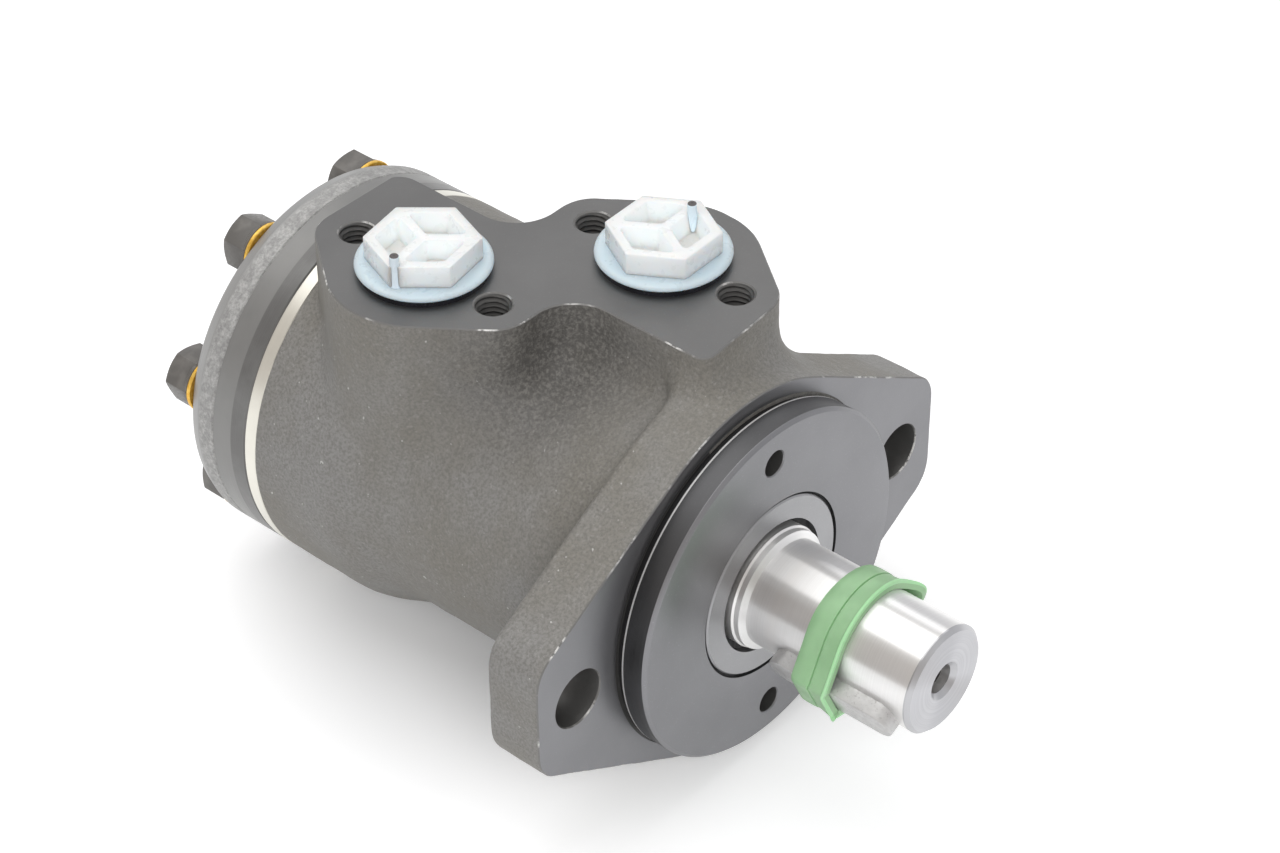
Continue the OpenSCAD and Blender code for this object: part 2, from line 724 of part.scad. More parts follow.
// Outline of the band stretched over shaft and key, in X and Z
module band_outline(grow) {
    hull() {
        circle(shaft_r + grow, $fn = 64);
        rotate(key_angle) for (s = [-1, 1]) translate([key_top, s * key_w / 2])
            circle(grow + 0.01, $fn = 16);
    }
}

module key_band() {
    color([0.55, 0.78, 0.55]) slab(band_y0, band_y0 + band_w) difference() {
        band_outline(band_t);
        band_outline(band_slack);
    }
}

// Things that lean with the cardan, seen in its own frame with its front joint at y = 0
module on_cardan() {
    translate([0, front_joint, 0]) rotate([0, -rest_dir, 0]) rotate([0, 0, -cardan_tilt])
        rotate([0, rest_dir, 0]) children();
}

// One crowned spline of the cardan, centred on y
module cardan_spline(y, len) {
    crown = 0.4;
    intersection() {
        slab(y - len / 2, y + len / 2) spline_outline();
        turned([[0, y - len / 2], [spline_tip_r - crown, y - len / 2], [spline_tip_r, y - len / 6],
            [spline_tip_r, y + len / 6], [spline_tip_r - crown, y + len / 2], [0, y + len / 2]]);
    }
}

module cardan_shaft() {
    reach = (star_mid - front_joint) / cos(cardan_tilt);
    // The rear spline stops short of the drive spacer, also at the edge that the tilt brings nearer
    rear_half = ring_t / 2 - side_gap - spacer_t - spacer_gap - spline_tip_r * sin(cardan_tilt);
    // Between the splines the shaft tapers from just under the tooth roots
    neck_r = spline_root_r - neck_drop;
    taper = 4;
    color(steel_colour) on_cardan() {
        cardan_spline(0, front_spline_len - spline_short);
        cardan_spline(reach, 2 * rear_half);
        turned([[0, front_spline_len / 2 - spline_short], [neck_r, front_spline_len / 2 - spline_short],
            [cardan_r, front_spline_len / 2 + taper], [cardan_r, reach - rear_half - taper],
            [neck_r, reach - rear_half + spline_short / 2], [0, reach - rear_half + spline_short / 2]]);
    }
}

module drive_spacer() {
    y1 = cover_y - side_gap;
    color(steel_colour) translate([star_x, 0, star_z])
        ring(0, spline_root_r - spline_gap, y1 - spacer_t, y1);
}

// Profile of the star: the curve that stays in touch with every ring lobe as the star orbits
function star_point(t) =
    let (n = ring_lobes, r = lobe_tooth_r + mesh_gap,
        turn = atan2(sin((1 - n) * t), lobe_at / (eccentricity * n) - cos((1 - n) * t)))
    [lobe_at * cos(t) - r * cos(t + turn) - eccentricity * cos(n * t),
        -lobe_at * sin(t) + r * sin(t + turn) + eccentricity * sin(n * t)];

// Even spacing of the points round the profile
function star_angle(i, count) =
    let (u = 360 * i / count) u - 0.8 * 180 / PI * sin((ring_lobes - 1) * u) / (ring_lobes - 1);

module star_outline() {
    count = 24 * (ring_lobes - 1);
    polygon([for (i = [0 : count - 1]) star_point(star_angle(i, count))]);
}

module star_gear() {
    color(steel_colour) translate([star_x, 0, star_z])
        slab(ring_y + side_gap, ring_y + side_gap + star_t) difference() {
            rotate(rest_dir) star_outline();
            spline_outline(spline_gap);
        }
}

// Holes for all the screws, in X and Z
module screw_holes() {
    for (a = lobe_angles) translate(screw_at * [cos(a), sin(a)]) circle(screw_r + screw_gap);
}

// Round body of a piece of the stack, with its edges broken
module stack_disc(y0, y1) {
    turned([[0, y0], [stack_r - stack_edge, y0], [stack_r, y0 + stack_edge],
        [stack_r, y1 - stack_edge], [stack_r - stack_edge, y1], [0, y1]]);
}

module gear_ring() {
    color(dark_steel) difference() {
        stack_disc(ring_y, cover_y);
        slab(ring_y - past, cover_y + past) {
            difference() {
                circle(pocket_r);
                for (a = lobe_angles) translate(lobe_at * [cos(a), sin(a)]) circle(lobe_tooth_r);
            }
            screw_holes();
        }
    }
}

module channel_plate() {
    hole_r = cardan_r + eccentricity + cardan_room;
    color([0.75, 0.74, 0.7]) difference() {
        stack_disc(plate_y0, ring_y);
        slab(plate_y0 - past, ring_y + past) {
            circle(hole_r);
            for (a = channel_angles) translate(channel_at * [cos(a), sin(a)]) circle(channel_r);
            screw_holes();
        }
        seal_groove(ring_y);
    }
}

module end_cover() {
    color([0.45, 0.45, 0.45]) difference() {
        turned([[0, cover_y], [stack_r - stack_edge, cover_y], [stack_r, cover_y + stack_edge],
            [stack_r, cover_end - cover_slope],
            [stack_r - cover_drop, cover_end - cover_chamfer],
            [stack_r - cover_drop - cover_chamfer, cover_end],
            [0, cover_end]]);
        slab(cover_y - past, cover_end + past) screw_holes();
        half = face_seal_t / 2 + face_seal_gap;
        ring(face_seal_at - half, face_seal_at + half, cover_y - past, cover_y + face_seal_t);
    }
}

module housing_seal() face_seal(housing_len);
module plate_seal() face_seal(ring_y);
module cover_seal() face_seal(cover_y + face_seal_t);

module screw_washers() {
    color([0.85, 0.65, 0.2]) for (a = lobe_angles) difference() {
        rod(screw_at, a, washer_r, cover_end, cover_end + washer_t);
        rod(screw_at, a, screw_r + screw_gap, cover_end - past, cover_end + washer_t + past);
    }
}

module cover_screws() {
    seat = cover_end + washer_t;
    top = seat + screw_flange_t + screw_head_h;
    corner = screw_af / 2 / cos(30);
    // The hexagon's chamfer is a 30 degree cone
    chamfer_h = screw_chamfer * tan(30);
    rim = top - seat - chamfer_h;
    color(dark_steel) for (a = lobe_angles) {
        rod(screw_at, a, screw_r, housing_len - screw_grip, seat + screw_flange_t / 2);
        rod(screw_at, a, screw_flange_r, seat, seat + screw_flange_t);
        translate([screw_at * cos(a), seat, screw_at * sin(a)]) rotate([-90, 0, 0]) intersection() {
            cylinder(r = corner, h = top - seat, $fn = 6);
            union() {
                cylinder(r = corner + past, h = rim);
                translate([0, 0, rim])
                    cylinder(r1 = corner, r2 = corner - screw_chamfer, h = chamfer_h);
            }
        }
    }
}

// Outline of the three pockets in a plug's hexagon, with webs that run to every other corner
module plug_pockets() {
    hub_r = plug_wall * 0.8;
    difference() {
        circle((plug_af / 2 - plug_wall) / cos(30), $fn = 6);
        for (turn = [60, 180, 300]) rotate(turn) translate([0, -plug_wall / 2])
            square([plug_af, plug_wall]);
        circle(hub_r, $fn = 24);
    }
}

module port_plug(place, turn, post_at, post_turn) {
    hair = 0.1;
    collar_z = pad_z + plug_seal_t;
    hex_z = collar_z + plug_collar_t;
    top = hex_z + plug_hex_h;
    shank_r = port_r - plug_gap;
    color([0.88, 0.93, 0.96]) translate([place[0], place[1], 0]) {
        difference() {
            union() {
                translate([0, 0, collar_z])
                    cylinder(r1 = plug_collar_r, r2 = plug_collar_r - plug_collar_draft, h = plug_collar_t);
                rotate(turn) translate([0, 0, hex_z - hair])
                    cylinder(r = plug_af / 2 / cos(30), h = plug_hex_h + hair, $fn = 6);
                translate([0, 0, pad_z - plug_shank])
                    cylinder(r = shank_r, h = plug_shank + plug_seal_t + hair);
            }
            translate([0, 0, top - plug_pocket]) rotate(turn)
                linear_extrude(plug_pocket + past) plug_pockets();
            translate([0, 0, pad_z - plug_shank - past])
                cylinder(r = shank_r - plug_wall, h = plug_shank + past - plug_roof);
        }
        rotate(post_turn) translate([post_at, 0, hex_z - hair])
            cylinder(r = plug_post_r, h = plug_hex_h + plug_post_h + hair);
    }
}

module plug_seal(place) {
    color(rubber_colour) translate([place[0], place[1], pad_z]) difference() {
        cylinder(r = plug_seal_r, h = plug_seal_t);
        translate([0, 0, -past])
            cylinder(r = port_r - plug_gap + plug_seal_gap, h = plug_seal_t + 2 * past);
    }
}

module port_plug_front()
    port_plug(port_front, plug_turn_front, plug_post_front_at, plug_post_front_turn);
module port_plug_rear()
    port_plug(port_rear, plug_turn_rear, plug_post_rear_at, plug_post_rear_turn);
module plug_seal_front() plug_seal(port_front);
module plug_seal_rear() plug_seal(port_rear);

housing();
seal_carrier();
dust_seal();
shaft_seal();
thrust_race();
needle_cage();
thrust_needles();
output_shaft();
shaft_key();
key_band();
cardan_shaft();
drive_spacer();
channel_plate();
gear_ring();
star_gear();
end_cover();
housing_seal();
plate_seal();
cover_seal();
cover_screws();
screw_washers();
port_plug_front();
port_plug_rear();
plug_seal_front();
plug_seal_rear();
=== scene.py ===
import math

import bmesh
import bpy
import numpy as np
from mathutils import Matrix, Vector, noise


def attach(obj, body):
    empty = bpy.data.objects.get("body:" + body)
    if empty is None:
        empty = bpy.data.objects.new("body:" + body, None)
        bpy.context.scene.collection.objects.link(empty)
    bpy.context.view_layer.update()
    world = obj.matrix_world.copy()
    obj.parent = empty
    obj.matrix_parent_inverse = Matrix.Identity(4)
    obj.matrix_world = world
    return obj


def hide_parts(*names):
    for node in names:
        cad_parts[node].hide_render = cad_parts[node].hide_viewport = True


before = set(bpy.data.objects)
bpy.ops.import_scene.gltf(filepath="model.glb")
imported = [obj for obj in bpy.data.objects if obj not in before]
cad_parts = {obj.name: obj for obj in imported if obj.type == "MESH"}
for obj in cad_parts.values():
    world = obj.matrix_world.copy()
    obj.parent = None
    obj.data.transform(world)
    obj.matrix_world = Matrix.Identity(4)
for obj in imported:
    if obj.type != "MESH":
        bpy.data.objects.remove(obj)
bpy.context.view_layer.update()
scene = bpy.context.scene

# Sizes in millimetres, as in the CAD source. The shaft axis is Y and the flange face is y = 0.
MM = 0.001
Y_AXIS, Z_AXIS = (0, 1, 0), (0, 0, 1)

# Barrel, with an S-shaped slope up to the radius of the rear collar
HOUSING_LEN = 103.5
BARREL_R, STACK_R = 40.2, 44.8
SLOPE_Y, SLOPE_LEN = 64, 19
EDGE_BREAK = 0.26

# Flange, its ears, and the room for a bolt head behind each, which runs out in a cone
FLANGE_T, FLANGE_R, FLANGE_EDGE = 14.0, 45.1, 1.3
EAR_X, EAR_CX, EAR_CZ, EAR_R = 53.2, 56.4, 8.65, 9.0
EAR_HOLE_R, EAR_CHAMFER_R = 6.75, 7.6
ROOM_R, ROOM_CONE_Y, ROOM_END_Y, ROOM_TAPER = 15, 23, 30, 0.5

# Pilot with its two pin holes, the painted highlight line at its foot and the groove round the seal carrier
PILOT_R, PILOT_H = 41.25, 7.6
PILOT_LINE_Y = (-1.75, -1.35)
PIN_AT, PIN_R = 33.2, 3
CARRIER_R, GROOVE_R = 21.3, 21.92

# Port pad: each lobe goes round a port and its two bolt bosses, with a waist between the lobes
PAD_Z = 54.5
PORTS = {"front": (18.0, 38.3), "rear": (-18.0, 74.3)}
PORT_R, BOLT_HOLE_R, BOLT_DY = 10.95, 4.05, 20.0
LOBE_R, BOSS_R = 21.2, 9.2
PAD_INNER, PAD_FRONT, PAD_MID, PAD_BOTTOM = -4.5, 7.8, 56.3, 5
WAIST_Y, WAIST_R = 45.1, 10.0
PAD_CORNER_R, PAD_REAR_CORNER_R = 3, 5

# Shaft, key and band. The two angles of the band, in degrees, are those of its lip and its fold.
SHAFT_R, SHAFT_END = 12.5, -53.5
KEY_ANGLE, KEY_W, KEY_TOP, KEY_FOOT = -154.0, 8.0, 15.5, 8.5
KEY_Y = (-50.5, -18.5)
BAND_Y = (-35.9, -26.6)
BAND_LIP_AT, BAND_FOLD_AT = 22, 219

# Cover screws, each with its own turn in degrees, and their washers
SCREW_AT = 37.6
SCREW_ANGLES = [-90 + k * 360 / 7 for k in range(7)]
SCREW_TURNS = (0, 17, 41, 8, 33, 52, 26)
SCREW_AF, SCREW_HEAD_H, SCREW_FLANGE_T = 12.0, 6.2, 1.2
WASHER_Y = (125.5, 126.5)

# Where the gear ring changes its tone and where the cover's cast band ends
RING_TONE_Y, COVER_BAND_Y = (111.3, 111.7), (121.2, 122.2)

# Port plugs
PLUG_SEAL_T, PLUG_COLLAR_T, PLUG_HEX_H, PLUG_POST_H = 1.2, 1.5, 5.2, 2.4
PLUG_AF, PLUG_WALL, PLUG_POCKET, PLUG_LEAN = 22.0, 2.2, 4.4, 0.76

# Glow of the floor under the object, kept low there as a painted shadow, and in the open, and the level of
# the studio's light
PAINTED_SHADOW_GLOW, OPEN_GLOW = 0.14, 0.42
WORLD_LEVEL = 0.45


# Mesh helpers
def new_object(name, verts, faces, mats=()):
    me = bpy.data.meshes.new(name)
    me.from_pydata([tuple(v) for v in verts], [], [tuple(f) for f in faces])
    me.update()
    ob = bpy.data.objects.new(name, me)
    scene.collection.objects.link(ob)
    for m in mats:
        me.materials.append(m)
    return ob


def shade(ob, degrees):
    """Smooth shading, which stops at edges sharper than an angle."""
    me = ob.data
    me.polygons.foreach_set("use_smooth", [True] * len(me.polygons))
    me.set_sharp_from_angle(angle=math.radians(degrees))
    me.update()


def fix_normals(ob):
    bm = bmesh.new()
    bm.from_mesh(ob.data)
    bmesh.ops.recalc_face_normals(bm, faces=bm.faces)
    bm.to_mesh(ob.data)
    bm.free()


def solid(name, verts, faces, mats, smooth=35):
    """A closed mesh with its normals outwards."""
    ob = new_object(name, verts, faces, mats)
    fix_normals(ob)
    shade(ob, smooth)
    return ob


def circle(seg):
    """The angles of a ring of points."""
    return [2 * math.pi * k / seg for k in range(seg)]


def strips(rows, seg, closed=False):
    """Quads between successive rings of points, and from the last ring to the first if closed."""
    faces = []
    for i in range(rows if closed else rows - 1):
        j = (i + 1) % rows
        for k in range(seg):
            k1 = (k + 1) % seg
            faces.append([i * seg + k, i * seg + k1, j * seg + k1, j * seg + k])
    return faces


def caps(rows, seg):
    """The first and the last ring as faces."""
    return [list(range(seg))[::-1], list(range((rows - 1) * seg, rows * seg))]


def rounded(points, radii, steps=3):
    """Replaces each corner of a 2-D outline by an arc of its radius, 0 for a sharp corner."""
    out = []
    n = len(points)
    for i, p in enumerate(points):
        r = radii[i] if isinstance(radii, list) else radii
        if r <= 0:
            out.append(tuple(p))
            continue
        p = Vector(p)
        a = Vector(points[i - 1]) - p
        b = Vector(points[(i + 1) % n]) - p
        longest = min(a.length, b.length) * 0.49
        a.normalize()
        b.normalize()
        half = math.acos(max(-1, min(1, a.dot(b)))) / 2
        trim = min(r / math.tan(half), longest)
        centre = p + (a + b).normalized() * (trim * math.tan(half) / math.sin(half))
        v0, v1 = p + a * trim - centre, p + b * trim - centre
        turn = v0.angle_signed(v1)
        for k in range(steps + 1):
            v = v0.copy()
            v.rotate(Matrix.Rotation(-turn * k / steps, 2))
            out.append(tuple(centre + v))
    return out


def lathe(name, profile, seg, mats=(), smooth=35):
    """Revolves a closed [radius, y] outline about the motor axis. Points on the axis share one vertex."""
    verts, ring = [], []
    for r, y in profile:
        if r < 1e-6:
            ring.append([len(verts)] * seg)
            verts.append((0, y * MM, 0))
        else:
            ring.append(list(range(len(verts), len(verts) + seg)))
            verts += [(r * MM * math.cos(a), y * MM, r * MM * math.sin(a)) for a in circle(seg)]
    faces = []
    for i, p in enumerate(ring):
        q = ring[(i + 1) % len(ring)]
        if p[0] == p[1] and q[0] == q[1]:
            continue
        for k in range(seg):
            k1 = (k + 1) % seg
            faces.append(list(dict.fromkeys((p[k], q[k], q[k1], p[k1]))))
    return solid(name, verts, faces, mats, smooth)


def prism(name, outline, z0, z1, mats=()):
    """Extrudes an XY outline from z0 to z1, all in millimetres."""
    n = len(outline)
    verts = [(x * MM, y * MM, z * MM) for z in (z0, z1) for x, y in outline]
    return solid(name, verts, caps(2, n) + strips(2, n), mats)


def around(centre, axis):
    """A function that gives a place by radius, angle and distance along an axis."""
    axis = Vector(axis).normalized()
    side = axis.orthogonal().normalized()
    other = axis.cross(side)
    centre = Vector(centre)

    def place(r, angle, t):
        return (centre + axis * t + (side * math.cos(angle) + other * math.sin(angle)) * r) * MM

    return place


def tube(name, centre, axis, rings, seg, mats=()):
    """Closed solid of revolution about any axis from [radius, distance along axis] points."""
    place = around(centre, axis)
    verts = [place(r, a, t) for r, t in rings for a in circle(seg)]
    n = len(rings)
    return solid(name, verts, strips(n, seg) + caps(n, seg), mats)


def apply_modifier(ob, kind, **settings):
    mod = ob.modifiers.new(kind.lower(), kind)
    for k, v in settings.items():
        setattr(mod, k, v)
    dg = bpy.context.evaluated_depsgraph_get()
    me = bpy.data.meshes.new_from_object(ob.evaluated_get(dg))
    ob.modifiers.clear()
    old = ob.data
    ob.data = me
    bpy.data.meshes.remove(old)


def soften(ob, width, segments, degrees):
    """Rounds the edges sharper than an angle, by a width in millimetres."""
    apply_modifier(ob, "BEVEL", width=width * MM, segments=segments, limit_method="ANGLE",
                   angle_limit=math.radians(degrees))


def cut(ob, cutter, operation="DIFFERENCE"):
    """Takes the cutter out of an object, or keeps what both share, and removes the cutter."""
    apply_modifier(ob, "BOOLEAN", object=cutter, operation=operation, solver="MANIFOLD")
    bpy.data.objects.remove(cutter)


def paint(ob, mats, pick):
    """Gives each face the material picked for its centre in millimetres and its normal."""
    index = [mats.index(pick(p.center / MM, p.normal)) for p in ob.data.polygons]
    ob.data.polygons.foreach_set("material_index", index)


def join(name, obs):
    """Makes one object of several, which keep their materials."""
    verts, faces, mats, midx = [], [], [], []
    for o in obs:
        base = len(verts)
        verts += [tuple(v.co) for v in o.data.vertices]
        remap = []
        for m in o.data.materials:
            if m not in mats:
                mats.append(m)
            remap.append(mats.index(m))
        for p in o.data.polygons:
            faces.append([base + i for i in p.vertices])
            midx.append(remap[p.material_index] if remap else 0)
        bpy.data.objects.remove(o)
    out = new_object(name, verts, faces, mats)
    out.data.polygons.foreach_set("material_index", midx)
    return out


# The casting as a distance field
def capsule(x, y, c0, r0, c1, r1):
    """Distance to two circles joined by their outer tangents."""
    dx, dy = c1[0] - c0[0], c1[1] - c0[1]
    h = math.hypot(dx, dy)
    ux, uy = dx / h, dy / h
    px = np.abs((x - c0[0]) * -uy + (y - c0[1]) * ux)
    py = (x - c0[0]) * ux + (y - c0[1]) * uy
    b = (r0 - r1) / h
    a = math.sqrt(1 - b * b)
    k = -b * px + a * py
    mid = px * a + py * b - r0
    return np.where(k < 0, np.hypot(px, py) - r0, np.where(k > a * h, np.hypot(px, py - h) - r1, mid))


def corner_distance(u, v):
    """Distance to the inside of a square corner from the distances to its two sides."""
    return np.hypot(np.maximum(u, 0), np.maximum(v, 0)) + np.minimum(np.maximum(u, v), 0)


def rect(x, y, x0, x1, y0, y1):
    """Distance to a rectangle."""
    return corner_distance(np.abs(x - (x0 + x1) / 2) - (x1 - x0) / 2,
                           np.abs(y - (y0 + y1) / 2) - (y1 - y0) / 2)


def blend_in(a, b, k):
    """Smooth union: a concave fillet about k wide where the two meet."""
    h = np.maximum(k - np.abs(a - b), 0) / k
    return np.minimum(a, b) - h * h * k / 4


def round_union(a, b, r):
    """Union with a fillet of radius r."""
    u, v = np.maximum(r - a, 0), np.maximum(r - b, 0)
    return np.maximum(r, np.minimum(a, b)) - np.hypot(u, v)


def lobe(x, y, front=PAD_FRONT, corner_r=PAD_CORNER_R):
    """One lobe of the port pad and the pad's middle beside it."""
    px, py = PORTS["front"]
    d = np.minimum(capsule(x, y, (px, py), LOBE_R, (px, py + BOLT_DY), BOSS_R),
                   capsule(x, y, (px, py), LOBE_R, (px, py - BOLT_DY), BOSS_R))
    corner = (PAD_INNER + corner_r, front + corner_r)
    d = np.minimum(d, capsule(x, y, (px, py - BOLT_DY), BOSS_R, corner, corner_r))
    return np.minimum(d, rect(x, y, PAD_INNER, px, corner[1], 2 * PAD_MID - WAIST_Y))


def pad_outline(x, y):
    """Both lobes. The rear one has a rounder corner, which the housing's rear face cuts."""
    rear = 2 * PAD_MID - HOUSING_LEN - 0.5
    return round_union(lobe(x, y), lobe(-x, 2 * PAD_MID - y, rear, PAD_REAR_CORNER_R), WAIST_R)


def smooth01(v, lo, hi):
    """Smooth step from 0 at lo to 1 at hi."""
    t = np.clip((v - lo) / (hi - lo), 0, 1)
    return t * t * (3 - 2 * t)


def flange_outline(x, z):
    """Oval of the flange: the ears are joined to the middle by tangents."""
    x = np.abs(x)
    d = np.minimum(capsule(x, z, (0, 0), FLANGE_R, (EAR_CX, EAR_CZ), EAR_R),
                   capsule(x, z, (0, 0), FLANGE_R, (EAR_CX, -EAR_CZ), EAR_R))
    return np.minimum(d, rect(x, z, -1, EAR_CX + EAR_R, -EAR_CZ, EAR_CZ))


def casting(x, y, z):
    """Distance to the raw casting: barrel, flange and port pad."""
    t = np.clip((y - SLOPE_Y) / SLOPE_LEN, 0, 1)
    radius = BARREL_R + (STACK_R - BARREL_R) * (1 - np.cos(np.pi * t)) / 2
    slope = (STACK_R - BARREL_R) * np.pi / 2 / SLOPE_LEN * np.sin(np.pi * t)
    barrel = (np.hypot(x, z) - radius) / np.sqrt(1 + slope * slope)
    flange = corner_distance(flange_outline(x, z) + FLANGE_EDGE, y - (FLANGE_T - FLANGE_EDGE)) - FLANGE_EDGE
    crease_r = 0.7
    d = round_union(barrel, flange, crease_r)
    room_r = ROOM_R - ROOM_TAPER * np.maximum(y - ROOM_CONE_Y, 0)
    room = np.maximum(np.hypot(np.abs(x) - EAR_X, z) - room_r, np.maximum(FLANGE_T - y, y - ROOM_END_Y))
    d = np.maximum(d, -np.where(y > FLANGE_T, room, 1.0))
    # The fillet at the pad's foot widens from low to high, and narrows towards the rear face
    low, high, rear_share = 1.5, 8.0, 0.15
    fillet = low + (high - low) * smooth01(z, 16, 36)
    fillet = fillet * (1 - (1 - rear_share) * smooth01(y, 84, 100))
    pad = pad_outline(x, y) + 0 * z
    return blend_in(d, np.maximum(pad, PAD_BOTTOM - z), fillet)


def surface_nets(field, lo, h):
    """Quad mesh of the zero level of a sampled field."""
    s = field < 0
    nx, ny, nz = (n - 1 for n in field.shape)
    count = np.zeros((nx, ny, nz), np.int8)
    corners = [(i, j, k) for i in (0, 1) for j in (0, 1) for k in (0, 1)]
    for i, j, k in corners:
        count += s[i:nx + i, j:ny + j, k:nz + k]
    cells = np.argwhere((count > 0) & (count < 8))
    index = np.full((nx, ny, nz), -1, np.int32)
    index[tuple(cells.T)] = np.arange(len(cells))
    total = np.zeros((len(cells), 3))
    hits = np.zeros(len(cells))
    value = {c: field[tuple((cells + c).T)] for c in corners}
    for a in corners:
        for axis in range(3):
            if a[axis] == 1:
                continue
            b = tuple(1 if n == axis else a[n] for n in range(3))
            fa, fb = value[a], value[b]
            crossing = (fa < 0) != (fb < 0)
            t = np.where(crossing, fa / np.where(crossing, fa - fb, 1), 0)
            p = np.repeat(np.array([a], float), len(cells), 0)
            p[:, axis] += t
            total += p * crossing[:, None]
            hits += crossing
    verts = np.array(lo) + (cells + total / hits[:, None]) * h
    quads = []
    for axis in range(3):
        u, v = [n for n in range(3) if n != axis]
        edges = np.argwhere(np.diff(s, axis=axis))
        eu, ev = edges[:, u], edges[:, v]
        edges = edges[(eu > 0) & (ev > 0) & (eu < index.shape[u]) & (ev < index.shape[v])]
        inside = s[tuple(edges.T)]
        corner = []
        for du, dv in ((-1, -1), (0, -1), (0, 0), (-1, 0)):
            e = edges.copy()
            e[:, u] += du
            e[:, v] += dv
            corner.append(index[tuple(e.T)])
        quad = np.stack(corner, 1)
        flip = inside if axis != 1 else ~inside
        quad[~flip] = quad[~flip][:, ::-1]
        quads.append(quad)
    return verts, np.concatenate(quads)


def refine(verts, field, rounds=2):
    """Moves the vertices onto the field's true zero level."""
    e, least_slope, farthest = 0.05, 0.3, 0.4
    for _ in range(rounds):
        x, y, z = verts.T
        d = field(x, y, z)
        g = np.stack([field(x + e, y, z) - d, field(x, y + e, z) - d, field(x, y, z + e) - d], 1) / e
        g /= np.maximum(np.linalg.norm(g, axis=1, keepdims=True), least_slope)
        verts = verts - g * np.clip(d, -farthest, farthest)[:, None]
    return verts


def make_casting(mats):
    """Mesh of the casting, with the machined faces cut flat and a narrow broken edge round them."""
    h = 0.8
    lo = (-67.0, -2.5, -47.5)
    hi = (67.0, 106.5, 58.0)
    # A little is left on outside the faces that are cut flat afterwards
    front, rear, bottom, top = -1.2, 104.7, -46.3, 56.0

    def trimmed(x, y, z):
        ends = np.maximum(front - y, y - rear) + 0 * z
        sides = np.maximum(z - top, bottom - z) + 0 * y
        return np.maximum(casting(x, y, z), np.maximum(ends, sides))

    axes = [np.arange(a, b, h) for a, b in zip(lo, hi)]
    grid = (axes[0][:, None, None], axes[1][None, :, None], axes[2][None, None, :])
    field = np.broadcast_to(trimmed(*grid), [len(a) for a in axes]).astype(np.float32)
    verts, quads = surface_nets(field, lo, h)
    verts = refine(verts, trimmed)
    ob = new_object("cast_body", (verts * MM).tolist(), quads.tolist(), mats)
    bm = bmesh.new()
    bm.from_mesh(ob.data)
    bm.normal_update()
    # Slow waves of the sand mould, which the machined faces cut away
    ear_tip = (EAR_CX + EAR_R) * MM
    for v in bm.verts:
        p = v.co / MM
        wave = noise.noise(p * 0.16) * 0.09 + noise.noise(p * 0.42 + Vector((9, 3, 5))) * 0.06
        v.co += v.normal * wave * MM
        v.co.x = max(-ear_tip, min(ear_tip, v.co.x))
    planes = (((0, 0, 0), (0, -1, 0)), ((0, HOUSING_LEN * MM, 0), (0, 1, 0)),
              ((0, 0, PAD_Z * MM), (0, 0, 1)), ((0, 0, -STACK_R * MM), (0, 0, -1)))
    for point, normal in planes:
        got = bmesh.ops.bisect_plane(bm, geom=bm.verts[:] + bm.edges[:] + bm.faces[:], dist=1e-7,
                                     plane_co=point, plane_no=normal, clear_outer=True)
        edges = [g for g in got["geom_cut"] if isinstance(g, bmesh.types.BMEdge) and g.is_boundary]
        bmesh.ops.holes_fill(bm, edges=edges, sides=0)
    bmesh.ops.recalc_face_normals(bm, faces=bm.faces)
    # Only a cut face has so many corners
    flats = [f for f in bm.faces if len(f.verts) > 60 and max(f.normal.z, -f.normal.y) > 0.9]
    rims = list({e for f in flats for e in f.edges})
    bmesh.ops.bevel(bm, geom=rims, offset=EDGE_BREAK * MM, segments=1, affect="EDGES", clamp_overlap=True)
    bm.to_mesh(ob.data)
    bm.free()
    return ob


def thread(name, centre, axis, r_out, r_in, pitch, depth, start=0.3, seg=56):
    """Threaded lining of a hole: a helical wall inside, and a plain wall that sits in the metal."""
    place = around(centre, axis)
    rings_per_turn = 8
    count = int(depth / pitch * rings_per_turn)
    root_r, metal_r = r_out - 0.06, r_out + 0.12
    verts = []
    for i in range(count + 1):
        t = start + (depth - start) * i / count
        fade = min(1, (t - start) / (0.5 * pitch))
        for k, a in enumerate(circle(seg)):
            turn = (t / pitch + k / seg) % 1.0
            tooth = min(1, max(0, 1.35 * abs(2 * turn - 1) - 0.12))
            verts.append(place(root_r - (root_r - r_in) * (1 - tooth) * fade, a, -t))
    for t in (depth, start):
        verts += [place(metal_r, a, -t) for a in circle(seg)]
    return solid(name, verts, strips(count + 3, seg, closed=True), [BORE], 50)


